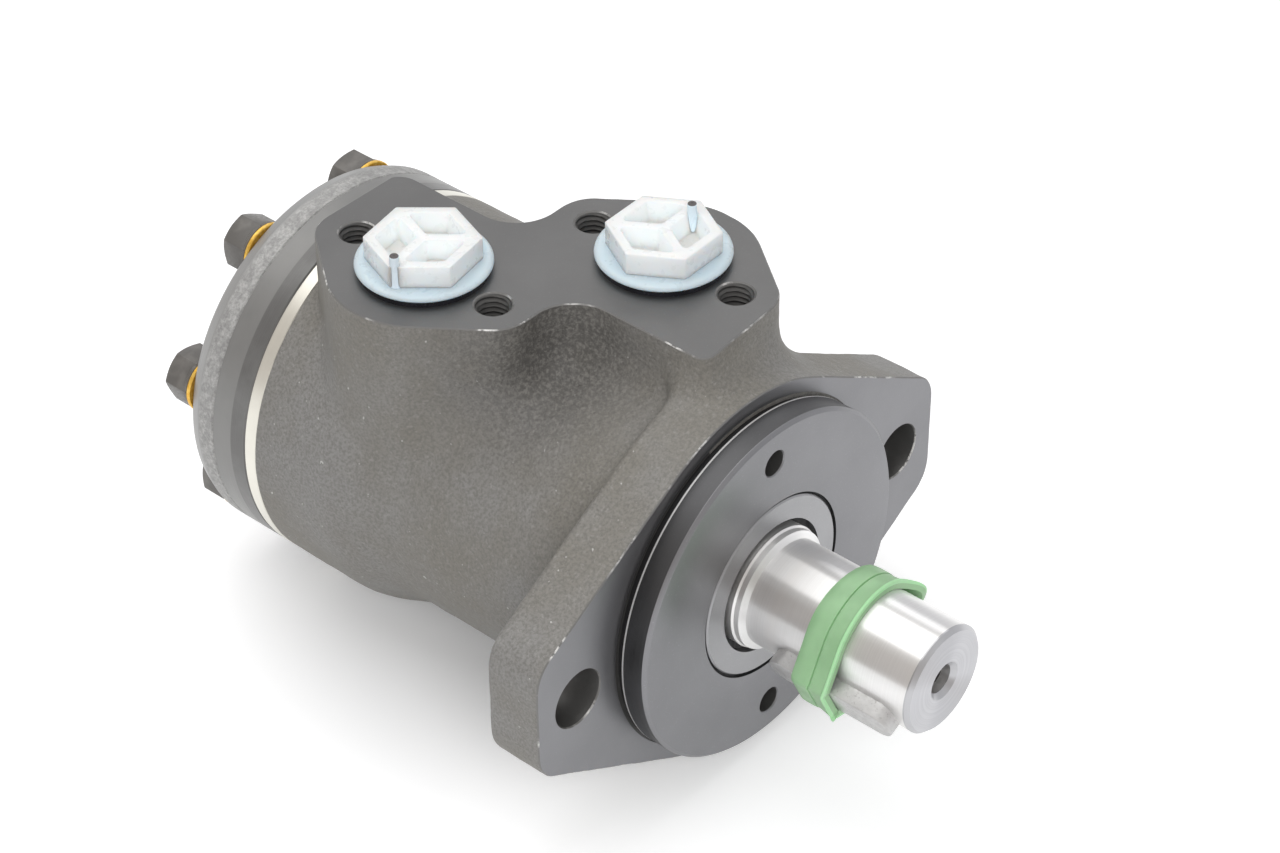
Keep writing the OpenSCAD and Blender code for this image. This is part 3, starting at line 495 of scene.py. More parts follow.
# Materials
class Tree:
    """A material's node tree with short calls for its nodes."""

    def __init__(self, name):
        self.material = bpy.data.materials.new(name)
        self.material.use_nodes = True
        self.nt = self.material.node_tree
        self.bsdf = self.nt.nodes["Principled BSDF"]
        self.coords = self.add("ShaderNodeTexCoord").outputs["Object"]

    def add(self, kind, inputs=(), **props):
        """Adds a node. Each of its inputs is given a value, or the output that is linked to it."""
        n = self.nt.nodes.new(kind)
        for k, v in props.items():
            setattr(n, k, v)
        for k, v in dict(inputs).items():
            self.put(n.inputs[k], v)
        return n

    def put(self, socket, value):
        if isinstance(value, bpy.types.NodeSocket):
            self.nt.links.new(value, socket)
        else:
            socket.default_value = value

    def math(self, op, a, b=0.0, c=0.0):
        return self.add("ShaderNodeMath", {0: a, 1: b, 2: c}, operation=op).outputs[0]

    def noise(self, scale, detail=2.0, rough=0.5, vector=None):
        inputs = {"Vector": vector or self.coords, "Scale": scale, "Detail": detail, "Roughness": rough}
        return self.add("ShaderNodeTexNoise", inputs).outputs["Fac"]

    def voronoi(self, scale):
        return self.add("ShaderNodeTexVoronoi", {"Vector": self.coords, "Scale": scale}).outputs["Distance"]

    def ramp(self, value, lo, hi, out_lo=0.0, out_hi=1.0):
        """Smooth step between two outputs as the value goes from lo to hi."""
        inputs = {"Value": value, "From Min": lo, "From Max": hi, "To Min": out_lo, "To Max": out_hi}
        return self.add("ShaderNodeMapRange", inputs, interpolation_type="SMOOTHSTEP").outputs["Result"]

    def spread(self, value, out_lo=0.0, out_hi=1.0):
        """Ramp over the middle of a noise's range."""
        return self.ramp(value, 0.3, 0.7, out_lo, out_hi)

    def mix(self, factor, a, b):
        """Mixes two colours."""
        a, b = (v if isinstance(v, bpy.types.NodeSocket) else (*v, 1.0) for v in (a, b))
        return self.add("ShaderNodeMix", {0: factor, 6: a, 7: b}, data_type="RGBA").outputs[2]

    def split(self):
        return self.add("ShaderNodeSeparateXYZ", {0: self.coords}).outputs

    def vector(self, x, y=0.0):
        return self.add("ShaderNodeCombineXYZ", {0: x, 1: y}).outputs[0]

    def length(self, a, b):
        return self.math("SQRT", self.math("ADD", self.math("MULTIPLY", a, a), self.math("MULTIPLY", b, b)))

    def turned(self):
        """Coordinates that stay the same along a lathe's tool marks."""
        x, y, z = self.split()
        return self.vector(self.length(x, z), y)

    def bump(self, height, strength, distance, normal=None):
        inputs = {"Strength": strength, "Distance": distance, "Height": height}
        if normal is not None:
            inputs["Normal"] = normal
        return self.add("ShaderNodeBump", inputs).outputs["Normal"]

    def set(self, **values):
        for k, v in values.items():
            socket = self.bsdf.inputs[k.replace("_", " ")]
            if isinstance(v, tuple) and len(v) == 3 and socket.type == "RGBA":
                v = (*v, 1.0)
            self.put(socket, v)


def tone(colour, factor):
    return tuple(c * factor for c in colour)


def cast_material():
    """Raw casting: sandy grain, slow brownish patches, small dark pits, a few bright chips, and painted shade
    with burnt-on sand in the hollow by the pad's waist.
    """
    t = Tree("cast_iron_raw")
    grain = t.noise(1500, 4, 0.65)
    fine = t.noise(900, 3, 0.65)
    pits = t.ramp(t.voronoi(900), 0.05, 0.5)
    patches = t.noise(30, 3, 0.6)
    chips = t.noise(520, 2, 0.5)
    colour = t.mix(t.ramp(patches, 0.32, 0.7), (0.232, 0.219, 0.193), (0.288, 0.282, 0.273))
    colour = t.mix(t.ramp(fine, 0.5, 0.75, 0.0, 0.45), colour, (0.39, 0.38, 0.36))
    colour = t.mix(t.ramp(grain, 0.36, 0.6, 0.5, 0.0), colour, (0.115, 0.108, 0.098))
    colour = t.mix(t.ramp(chips, 0.735, 0.76, 0.0, 0.8), colour, (0.62, 0.61, 0.59))
    # Painted shade in the hollow beside the pad's waist, where there is burnt-on sand too, so it is darker
    # and coarser
    hollow = (-0.010, 0.044, 0.045)
    away = t.add("ShaderNodeVectorMath", {0: t.coords, 1: hollow}, operation="DISTANCE")
    shade_and_burnt_sand = t.ramp(away.outputs["Value"], 0.006, 0.036, 0.72, 0.0)
    shaded_sand = t.mix(t.ramp(t.noise(1100, 4, 0.7), 0.42, 0.66), (0.060, 0.056, 0.052), (0.20, 0.19, 0.175))
    colour = t.mix(shade_and_burnt_sand, colour, shaded_sand)
    height = t.math("ADD", t.math("MULTIPLY", grain, 0.8), t.math("MULTIPLY", pits, 0.4))
    height = t.math("MULTIPLY_ADD", t.noise(330, 4, 0.6), 1.6, height)
    t.set(Base_Color=colour, Metallic=0.1, Roughness=t.spread(grain, 0.45, 0.65),
          Specular_IOR_Level=0.45, Normal=t.bump(height, 0.7, 0.0002))
    return t.material


def edge_material():
    """Narrow broken edge between cast and machined iron: bright chips here and there on dark skin."""
    t = Tree("broken_edge")
    chips = t.noise(700, 3, 0.65)
    runs = t.noise(95, 3, 0.6)
    share = t.math("MULTIPLY", t.ramp(chips, 0.38, 0.55), t.ramp(runs, 0.52, 0.66))
    t.set(Base_Color=t.mix(share, (0.19, 0.185, 0.18), (0.80, 0.79, 0.77)), Metallic=0.3,
          Roughness=t.spread(chips, 0.5, 0.35), Normal=t.bump(chips, 0.4, 0.0001))
    return t.material


def machined_material(name, base, rough, marks="flat", metallic=0.85):
    """Cut iron with a thin dark finish: it takes its tone from what it reflects."""
    t = Tree(name)
    if marks == "turned":
        lines = t.noise(5000, 2, 0.5, t.turned())
    else:
        # Faint arcs of a large milling cutter
        x, y, _ = t.split()
        arcs = t.length(t.math("ADD", x, 0.07), t.math("ADD", y, -0.02))
        lines = t.noise(2600, 3, 0.6, t.vector(arcs))
    cloud = t.noise(40, 4, 0.6)
    specks = t.noise(2400, 2, 0.7)
    colour = t.mix(t.spread(cloud), tone(base, 0.95), tone(base, 1.05))
    colour = t.mix(t.ramp(specks, 0.6, 0.78, 0.0, 0.3), colour, tone(base, 1.8))
    colour = t.mix(t.ramp(lines, 0.45, 0.7, 0.0, 0.2), colour, tone(base, 1.3))
    t.set(Base_Color=colour, Metallic=metallic, Roughness=t.spread(lines, rough - 0.04, rough + 0.05),
          Normal=t.bump(lines, 0.12, 0.00003, t.bump(specks, 0.2, 0.00004)))
    return t.material


def steel_material(name, base, rough, line_scale=14000):
    """Bright steel with fine turned lines."""
    t = Tree(name)
    lines = t.noise(line_scale, 2, 0.55, t.turned())
    broad = t.noise(900, 2, 0.5, t.turned())
    cloud = t.noise(120, 3, 0.5)
    fine_rough = t.spread(lines, rough - 0.05, rough + 0.05)
    broad_rough = t.spread(broad, -0.02, 0.04)
    t.set(Base_Color=t.mix(t.spread(cloud), tone(base, 0.94), base), Metallic=1.0,
          Roughness=t.math("ADD", fine_rough, broad_rough), Normal=t.bump(lines, 0.2, 0.00002))
    return t.material


def shaft_material():
    """Ground steel: fine rings round the shaft stretch each reflection. Its end face is turned and duller."""
    t = Tree("ground_steel")
    y = t.split()[1]
    along = t.vector(y)
    rings = t.noise(2600, 3, 0.6, along)
    broad = t.noise(140, 2, 0.5, along)
    end = SHAFT_END * MM
    face = t.ramp(y, end + 0.00001, end + 0.00006, 1.0, 0.0)
    chamfer = t.ramp(y, end + 0.0012, end + 0.0013, 1.0, 0.0)
    ground = t.mix(t.spread(rings), (0.80, 0.795, 0.79), (0.86, 0.855, 0.85))
    ground = t.mix(t.ramp(broad, 0.4, 0.7, 0.0, 0.5), ground, (0.82, 0.80, 0.78))
    ground = t.mix(chamfer, ground, (0.50, 0.50, 0.515))
    turned = t.noise(3500, 2, 0.5, t.turned())
    turned = t.mix(t.spread(turned), (0.56, 0.56, 0.58), (0.62, 0.62, 0.64))
    # The lay runs round the axis, so the spread of light is turned a quarter from it
    lay = t.add("ShaderNodeTangent", direction_type="RADIAL", axis="Y")
    t.set(Base_Color=t.mix(face, ground, turned), Metallic=1.0, Tangent=lay.outputs[0],
          Roughness=t.math("MULTIPLY_ADD", face, 0.12, 0.33), Anisotropic=0.95, Anisotropic_Rotation=0.25)
    return t.material


def rubber_material(name, base, rough=0.55):
    """Dull even skin, also for the oiled screws and the near-black painted shade in the groove round the seal
    carrier.
    """
    t = Tree(name)
    n = t.noise(1400, 3, 0.6)
    lighter = tuple(min(1, c * 1.4 + 0.004) for c in base)
    t.set(Base_Color=t.mix(t.ramp(t.noise(260, 3), 0.35, 0.7), base, lighter),
          Roughness=t.spread(n, rough - 0.08, rough + 0.1), Normal=t.bump(n, 0.3, 0.00006))
    return t.material


def key_material():
    """Rolled steel with a rough, blotched skin."""
    t = Tree("key_steel")
    n = t.noise(1500, 3, 0.7)
    pits = t.ramp(t.voronoi(900), 0.0, 0.4)
    blotch = t.noise(420, 3, 0.6)
    colour = t.mix(t.ramp(blotch, 0.35, 0.65), (0.54, 0.535, 0.53), (0.60, 0.595, 0.59))
    colour = t.mix(t.ramp(n, 0.58, 0.72, 0.0, 0.45), colour, (0.24, 0.235, 0.23))
    t.set(Base_Color=colour, Metallic=0.6, Roughness=t.spread(n, 0.36, 0.55),
          Normal=t.bump(t.math("ADD", n, pits), 0.25, 0.00008))
    return t.material


def band_material(name, low, high):
    """Green elastic, cloudy between two tones."""
    t = Tree(name)
    n = t.noise(700, 3, 0.6)
    t.set(Base_Color=t.mix(t.spread(t.noise(150, 2)), low, high),
          Roughness=t.spread(n, 0.38, 0.52), Normal=t.bump(n, 0.12, 0.00006),
          Subsurface_Weight=0.25, Subsurface_Scale=0.002, Subsurface_Radius=(0.5, 1.0, 0.5))
    return t.material


def plug_material(name, low, high, depth):
    """Pale plastic, cloudy between two tones, which light enters by some depth."""
    t = Tree(name)
    n = t.noise(500, 2, 0.5)
    t.set(Base_Color=t.mix(t.spread(t.noise(110, 3)), low, high),
          Roughness=t.spread(n, 0.26, 0.36), Normal=t.bump(n, 0.08, 0.0001),
          Subsurface_Weight=depth, Subsurface_Scale=0.005, Subsurface_Radius=(0.6, 0.8, 1.0))
    return t.material


def zinc_material():
    """Yellow passivated zinc."""
    t = Tree("washer_zinc")
    n = t.noise(900, 3, 0.6)
    t.set(Base_Color=t.mix(t.ramp(n, 0.35, 0.7), (0.75, 0.42, 0.05), (0.92, 0.62, 0.16)), Metallic=0.8,
          Roughness=t.spread(n, 0.3, 0.45), Normal=t.bump(n, 0.1, 0.00005))
    return t.material


def cover_material():
    """End cover: a rough cast band round it, and a smoother turned slope and rear face."""
    t = Tree("cover_iron")
    y = t.split()[1]
    rough_band = t.ramp(y, COVER_BAND_Y[0] * MM, COVER_BAND_Y[1] * MM, 1.0, 0.0)
    specks = t.noise(1500, 3, 0.7)
    blotch = t.noise(420, 4, 0.7)
    lines = t.noise(7000, 2, 0.5, t.turned())
    cast = t.mix(t.ramp(blotch, 0.4, 0.62), (0.38, 0.376, 0.37), (0.52, 0.515, 0.505))
    cast = t.mix(t.ramp(specks, 0.4, 0.6, 0.4, 0.0), cast, (0.20, 0.196, 0.19))
    smooth = t.mix(t.ramp(lines, 0.35, 0.7), (0.33, 0.327, 0.323), (0.41, 0.407, 0.402))
    height = t.math("MULTIPLY_ADD", lines, 0.12, t.math("MULTIPLY", specks, rough_band))
    t.set(Base_Color=t.mix(rough_band, smooth, cast), Metallic=t.math("MULTIPLY_ADD", rough_band, -0.2, 0.5),
          Roughness=t.math("MULTIPLY_ADD", rough_band, 0.18, 0.4), Normal=t.bump(height, 0.6, 0.0002))
    return t.material


def ring_material():
    """Gear ring: dark oiled steel, with a faint change of tone half-way along."""
    t = Tree("ring_steel")
    rear_half = t.ramp(t.split()[1], RING_TONE_Y[0] * MM, RING_TONE_Y[1] * MM)
    lines = t.noise(6000, 3, 0.6, t.turned())
    cloud = t.noise(90, 4, 0.6)
    colour = t.mix(rear_half, (0.15, 0.147, 0.143), (0.25, 0.247, 0.24))
    colour = t.mix(t.ramp(cloud, 0.4, 0.7, 0.0, 0.5), colour, (0.22, 0.22, 0.215))
    colour = t.mix(t.ramp(lines, 0.45, 0.7, 0.0, 0.3), colour, (0.27, 0.27, 0.27))
    t.set(Base_Color=colour, Metallic=0.45, Roughness=t.spread(lines, 0.3, 0.45),
          Normal=t.bump(lines, 0.3, 0.00004))
    return t.material


CAST = cast_material()
EDGE = edge_material()
PAD_FACE = machined_material("pad_face", (0.155, 0.154, 0.153), 0.46)
FRONT_FACE = machined_material("flange_face", (0.248, 0.248, 0.259), 0.4, "turned", 0.93)
# A darker copy of the flange face's turned iron for the pilot's side wall: painted shade
PILOT_SIDE_SHADE = machined_material("pilot_side_shade", (0.085, 0.085, 0.088), 0.42, "turned", 0.93)
BORE = machined_material("bored_iron", (0.10, 0.098, 0.095), 0.45, metallic=0.5)
# A light copy of the machined iron for the line at the pilot's foot: a painted highlight
PILOT_FOOT_HIGHLIGHT = machined_material("painted_highlight_iron", (0.72, 0.71, 0.70), 0.36, metallic=0.5)
# Near black for the faces of the narrow groove round the seal carrier: painted shade
GROOVE_SHADE = rubber_material("painted_groove_shade", (0.015, 0.015, 0.016), 0.7)
CARRIER = machined_material("seal_carrier_steel", (0.35, 0.35, 0.36), 0.36, "turned")
SHAFT = shaft_material()
INNER = steel_material("inner_steel", (0.62, 0.62, 0.63), 0.3)
PLATE = steel_material("plate_steel", (0.76, 0.74, 0.67), 0.34, 9000)
RING = ring_material()
COVER = cover_material()
SCREW = rubber_material("screw_steel", (0.125, 0.117, 0.108), 0.38)
RUBBER = rubber_material("rubber", (0.012, 0.012, 0.013))
PLUG_SEAL = rubber_material("plug_seal", (0.010, 0.010, 0.014), 0.24)
KEY = key_material()
BAND = band_material("band_green", (0.31, 0.53, 0.29), (0.37, 0.61, 0.345))
# A lighter copy of the green for the band's rim: a painted highlight
BAND_HIGHLIGHT = band_material("band_painted_highlight", (0.43, 0.78, 0.42), (0.47, 0.82, 0.46))
WASHER = zinc_material()
PLUG_HEX = plug_material("plug_white", (0.925, 0.985, 1.0), (0.895, 0.975, 1.0), 0.75)
PLUG_POST = plug_material("plug_post", (0.80, 0.89, 0.95), (0.76, 0.86, 0.93), 0.0)
PLUG_COLLAR = plug_material("plug_pale_blue", (0.66, 0.81, 0.94), (0.61, 0.76, 0.90), 0.6)
PLUG_PIN = rubber_material("plug_pin", (0.07, 0.062, 0.062), 0.4)

NODE_MATERIALS = {
    "housing": CAST, "seal_carrier": CARRIER, "output_shaft": SHAFT, "shaft_key": KEY, "key_band": BAND,
    "channel_plate": PLATE, "gear_ring": RING, "end_cover": COVER, "cover_screws": SCREW,
    "screw_washers": WASHER, "port_plug_front": PLUG_HEX, "port_plug_rear": PLUG_HEX,
    "plug_seal_front": PLUG_SEAL, "plug_seal_rear": PLUG_SEAL, "dust_seal": RUBBER,
    "shaft_seal": RUBBER, "housing_seal": RUBBER, "plate_seal": RUBBER, "cover_seal": RUBBER,
}
# The nodes that aren't named, such as the bearing and the star, are of plain steel
for node_name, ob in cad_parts.items():
    ob.data.materials.clear()
    ob.data.materials.append(NODE_MATERIALS.get(node_name, INNER))


# Housing
def on_circle(r, angle, y=0.0):
    """A place at a radius from the shaft axis, in the direction of an angle in degrees."""
    return (r * math.cos(math.radians(angle)), y, r * math.sin(math.radians(angle)))


def bore_cutter():
    """Room for the carrier, the shaft seal and the spool, with the narrow neck between the last two."""
    carrier_r, seal_r, neck_r, spool_r = CARRIER_R + 0.05, 19.5, 14.9, 20.1
    return lathe("cut_bore", [(0, -12), (carrier_r, -12), (carrier_r, 2), (seal_r, 2), (seal_r, 8.4),
                              (neck_r, 8.4), (neck_r, 13), (spool_r, 13), (spool_r, 108), (0, 108)], 96)


def housing_skin(c, n):
    """Material of a face of the housing by its place and direction."""
    near, flat = 0.02, 0.9
    ear_r, bore_r, port_r, bolt_r = EAR_CHAMFER_R + 0.2, 22, PORT_R + 0.25, BOLT_HOLE_R + 0.75
    if max(c.z - PAD_Z, -c.y) > -EDGE_BREAK and 0.3 < max(n.z, -n.y) < 0.93:
        return EDGE
    if abs(c.z - PAD_Z) < near and n.z > flat:
        return PAD_FACE
    if abs(c.y) < near and n.y < -flat:
        return FRONT_FACE
    if c.y > HOUSING_LEN - near and n.y > flat:
        return PAD_FACE
    if c.z < -STACK_R + near and n.z < -flat:
        return BORE
    if math.hypot(abs(c.x) - EAR_X, c.z) < ear_r and c.y < FLANGE_T + 0.1 or math.hypot(c.x, c.z) < bore_r:
        return BORE
    for px, py in PORTS.values():
        from_port = math.hypot(c.x - px, c.y - py)
        from_bolt = math.hypot(c.x - px, abs(c.y - py) - BOLT_DY)
        if c.z > 30 and (from_port < port_r or from_bolt < bolt_r):
            return BORE
    return CAST


def housing():
    """The casting with its bore, its holes and a place for the pilot."""
    mats = [CAST, PAD_FACE, FRONT_FACE, BORE, EDGE]
    body = make_casting(mats)
    ear = [(EAR_CHAMFER_R, -1), (EAR_HOLE_R, 0.35),
           (EAR_HOLE_R, FLANGE_T - 0.4), (EAR_CHAMFER_R, FLANGE_T + 1)]
    port = [(PORT_R, -16), (PORT_R, 2)]
    bolt = [(BOLT_HOLE_R, -14), (BOLT_HOLE_R, -0.35), (BOLT_HOLE_R + 0.7, 0.35)]
    cutters = [bore_cutter()]
    for s in (-1, 1):
        cutters.append(tube("cut_ear", (s * EAR_X, 0, 0), Y_AXIS, ear, 96))
    for px, py in PORTS.values():
        cutters.append(tube("cut_port", (px, py, PAD_Z), Z_AXIS, port, 96))
        for s in (-1, 1):
            cutters.append(tube("cut_bolt", (px, py + s * BOLT_DY, PAD_Z), Z_AXIS, bolt, 48))
    cut(body, join("cutters", cutters))
    pocket_r = PILOT_R + 0.4
    cut(body, tube("cut_pocket", (0, 0, 0), Y_AXIS, [(pocket_r, -2), (pocket_r, 0.3)], 192))
    pins = [tube("cut_pin", (0, 0, s * PIN_AT), Y_AXIS, [(PIN_R, -2), (PIN_R, 1.4)], 48) for s in (-1, 1)]
    screw = [(4.3, HOUSING_LEN - 18), (4.3, HOUSING_LEN + 2)]
    pins += [tube("cut_screw", on_circle(SCREW_AT, a), Y_AXIS, screw, 32) for a in SCREW_ANGLES]
    cut(body, join("pins", pins))
    paint(body, mats, housing_skin)
    shade(body, 38)
    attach(body, "motor_body")
    return body


def pilot_skin(c, n):
    """Material of a face of the pilot by its place and direction."""
    r = math.hypot(c.x, c.z)
    if math.hypot(c.x, abs(c.z) - PIN_AT) < PIN_R + 0.2 and abs(n.y) < 0.5:
        return BORE
    # The narrow line at the pilot's foot gets the painted highlight
    if r > PILOT_R - 0.1 and PILOT_LINE_Y[0] < c.y < PILOT_LINE_Y[1]:
        return PILOT_FOOT_HIGHLIGHT
    # The faces of the groove round the seal carrier are painted near black as shade
    if r < GROOVE_R - 0.01 or r < GROOVE_R + 0.01 and c.y > 0.1 - PILOT_H:
        return GROOVE_SHADE
    # The pilot's side wall gets the darker copy: painted shade
    if r > PILOT_R - 1.0 and c.y > 0.9 - PILOT_H:
        return PILOT_SIDE_SHADE
    return FRONT_FACE


def pilot_ring():
    """The pilot, with a relief at its foot and a fine groove round the seal carrier."""
    mats = [FRONT_FACE, BORE, PILOT_FOOT_HIGHLIGHT, GROOVE_SHADE, PILOT_SIDE_SHADE]
    front, foot_r, bore_r = -PILOT_H, PILOT_R - 0.9, CARRIER_R + 0.02
    profile = [(bore_r, 0.28), (bore_r, front + 0.9), (GROOVE_R, front + 0.8), (GROOVE_R, front),
               (PILOT_R - 0.8, front), (PILOT_R, front + 0.8), (PILOT_R, PILOT_LINE_Y[0]),
               (PILOT_R, PILOT_LINE_Y[1]), (foot_r, -1.1), (foot_r, 0.28)]
    profile = rounded(profile, [0, 0, 0, 0.06, 0.15, 0.15, 0, 0, 0, 0], 2)
    ring = lathe("pilot_ring", profile, 256, mats)
    pin = [(PIN_R + 0.3, front - 0.1), (PIN_R, front + 0.3), (PIN_R, 2)]
    cut(ring, join("pins", [tube("cut_pin", (0, 0, s * PIN_AT), Y_AXIS, pin, 64) for s in (-1, 1)]))
    paint(ring, mats, pilot_skin)
    shade(ring, 30)
    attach(ring, "motor_body")
    return ring


body = housing()
ring = pilot_ring()
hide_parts("housing")
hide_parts("housing")


def hole_threads():
    """Threads of the port bolts, of the ports and of the hole in the shaft's end."""
    m8 = {"r_out": 4.0, "r_in": 3.35, "pitch": 1.25, "depth": 13.8}
    bolts = [thread("t", (px, py + s * BOLT_DY, PAD_Z), Z_AXIS, **m8)
             for px, py in PORTS.values() for s in (-1, 1)]
    bolt_threads = join("port_bolt_threads", bolts)
    shade(bolt_threads, 50)
    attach(bolt_threads, "motor_body")
    pipe = {"r_out": 10.9, "r_in": 10.45, "pitch": 1.81, "depth": 15.8, "start": 0.4, "seg": 96}
    ports = [thread("t", (px, py, PAD_Z), Z_AXIS, **pipe) for px, py in PORTS.values()]
    port_threads = join("port_threads", ports)
    shade(port_threads, 50)
    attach(port_threads, "motor_body")
    end_thread = thread("shaft_end_thread", (0, SHAFT_END, 0), (0, -1, 0), r_out=3.3, r_in=2.8,
                        pitch=1.25, depth=21.5, start=3.2)
    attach(end_thread, "rotor")


def shaft_land():
    """Where the shaft leaves the seal: a narrow bright rim, a ground land and a short cone."""
    inner_r, rear, front = SHAFT_R - 0.2, -7.75, -10.75
    profile = [(inner_r, rear), (14.32, rear), (14.36, -8.2), (13.97, -8.62), (13.95, -9.9),
               (SHAFT_R + 0.02, front), (inner_r, front)]
    ob = lathe("shaft_land", profile, 160, [SHAFT], 20)
    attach(ob, "rotor")


hole_threads()
shaft_land()


# Port plugs
def hexagon(af, turn, r=0.0):
    """Hexagon by its width across flats, its turn in degrees and the radius of its corners."""
    corner = af / 2 / math.cos(math.radians(30))
    points = [on_circle(corner, turn + 60 * k)[::2] for k in range(6)]
    return rounded(points, r) if r else points


def inset(poly, amounts):
    """Moves each edge of a polygon inwards by its own amount. Edge i runs from point i to point i + 1."""
    n = len(poly)
    area = sum(poly[i][0] * poly[(i + 1) % n][1] - poly[(i + 1) % n][0] * poly[i][1] for i in range(n))
    sign = 1 if area > 0 else -1
    lines = []
    for i in range(n):
        a, b = Vector(poly[i]), Vector(poly[(i + 1) % n])
        d = (b - a).normalized()
        lines.append((a + Vector((-d.y, d.x)) * sign * amounts[i], d))
    out = []
    for i in range(n):
        (p, d), (q, e) = lines[i - 1], lines[i]
        t = ((q - p).x * e.y - (q - p).y * e.x) / (d.x * e.y - d.y * e.x)
        out.append(tuple(p + d * t))
    return out


def plug_head(px, py, turn, z0, top):
    """Hexagon with three rounded pockets and webs that run to every other corner."""
    def at_port(outline):
        return [(px + x, py + y) for x, y in outline]

    head = prism("hex", at_port(hexagon(PLUG_AF, turn, 0.6)), z0, top, [PLUG_HEX])
    inner = hexagon(PLUG_AF - 2 * PLUG_WALL, turn)
    pockets = []
    for k in range(3):
        corners = [inner[(2 * k + 1 + i) % 6] for i in range(3)] + [(0, 0)]
        outline = rounded(inset(corners, [0, 0, PLUG_WALL / 2, PLUG_WALL / 2]), 0.9, 4)
        pocket = prism("pocket", at_port(outline), top - PLUG_POCKET, top + 0.02)
        # The walls lean, so that the floor is smaller than the opening
        middle = sum((v.co for v in pocket.data.vertices), Vector()) / len(pocket.data.vertices)
        for v in pocket.data.vertices:
            if v.co.z < middle.z:
                v.co.xy = middle.xy + (v.co.xy - middle.xy) * PLUG_LEAN
        pockets.append(pocket)
    cut(head, join("pockets", pockets))
    soften(head, 0.5, 3, 40)
    return head


def port_plug(label, turn, post_at, post_turn):
    """Transport plug: hexagon, rounded collar, shank, and the moulded post beside the middle."""
    px, py = PORTS[label]
    base = PAD_Z + PLUG_SEAL_T
    hex_z = base + PLUG_COLLAR_T
    top = hex_z + PLUG_HEX_H
    head = plug_head(px, py, turn, hex_z - 0.3, top)
    rim = [(13.9, base), (14.65, base + 0.2), (14.9, base + 0.55), (14.8, base + 0.95), (14.4, base + 1.3),
           (13.8, base + 1.5), (12.9, base + 1.56), (12.2, base + 1.5)]
    collar = tube("collar", (px, py, 0), Z_AXIS, rim, 160, [PLUG_COLLAR])
    plain = [(9.6, PAD_Z - 9), (10.3, PAD_Z - 8.4), (10.3, base + 0.2)]
    shank = tube("shank", (px, py, 0), Z_AXIS, plain, 96, [PLUG_COLLAR])
    x, _, y = on_circle(post_at, post_turn)
    foot = (px + x, py + y, 0)
    post_top = top + PLUG_POST_H
    stem = [(1.35, hex_z - 0.1), (1.12, hex_z + 0.5), (1.05, post_top - 0.2), (0.98, post_top - 0.12)]
    post = tube("post", foot, Z_AXIS, stem, 40, [PLUG_POST])
    tip = [(0.97, post_top - 0.14), (0.93, post_top - 0.01), (0.32, post_top - 0.01), (0.26, post_top - 0.11)]
    mark = tube("mark", foot, Z_AXIS, tip, 32, [PLUG_PIN])
    ob = join("port_plug_" + label + "_detail", [head, collar, shank, post, mark])
    shade(ob, 40)
    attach(ob, label + "_plug")
    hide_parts("port_plug_" + label)


port_plug("front", 62, 8.0, -8)
port_plug("rear", 10.5, 11.4, 193)


# Key and band
def key_frame():
    """Axes of the key: across it, along the shaft, and outwards."""
    out = Vector(on_circle(1, KEY_ANGLE))
    along = Vector(Y_AXIS)
    return along.cross(out), along, out


def shaft_key():
    """Key with round ends, worn edges and a rough rolled skin."""
    across, along, out = key_frame()
    r = KEY_W / 2 - 0.02
    front, rear = KEY_Y[0] + r, KEY_Y[1] - r
    plan = []
    for start, end in ((0, rear), (math.pi, front)):
        for k in range(33):
            a = start + math.pi * k / 32
            plan.append((r * math.cos(a), end + r * math.sin(a)))
    # Each level is drawn in by a step, round the two ends as well as along the sides
    levels = [(0, KEY_FOOT), (0, KEY_TOP - 0.4), (0.12, KEY_TOP - 0.14), (0.4, KEY_TOP)]
    verts = []
    for step, h in levels:
        f = 1 - step / r
        for x, y in plan:
            end = min(max(y, front), rear)
            verts.append((across * x * f + along * (end + (y - end) * f) + out * h) * MM)
    n, m = len(plan), len(levels)
    ob = solid("shaft_key_detail", verts, strips(m, n) + caps(m, n), [KEY], 30)
    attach(ob, "rotor")
    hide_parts("shaft_key")


def band_point(psi, grow):
    """Point of the band's outline whose outward direction is psi, at a distance from shaft and key."""
    n = Vector((math.cos(psi), math.sin(psi)))
    out = Vector(on_circle(1, KEY_ANGLE)).xz
    side = Vector((-out.y, out.x))
    spots = [n * SHAFT_R, out * KEY_TOP + side * KEY_W / 2, out * KEY_TOP - side * KEY_W / 2]
    return max(spots, key=lambda p: p.dot(n)) + n * grow


def bell(degrees, middle, width):
    """Smooth bump round an angle."""
    away = (degrees - middle + 180) % 360 - 180
    return math.exp(-((away / width) ** 2))


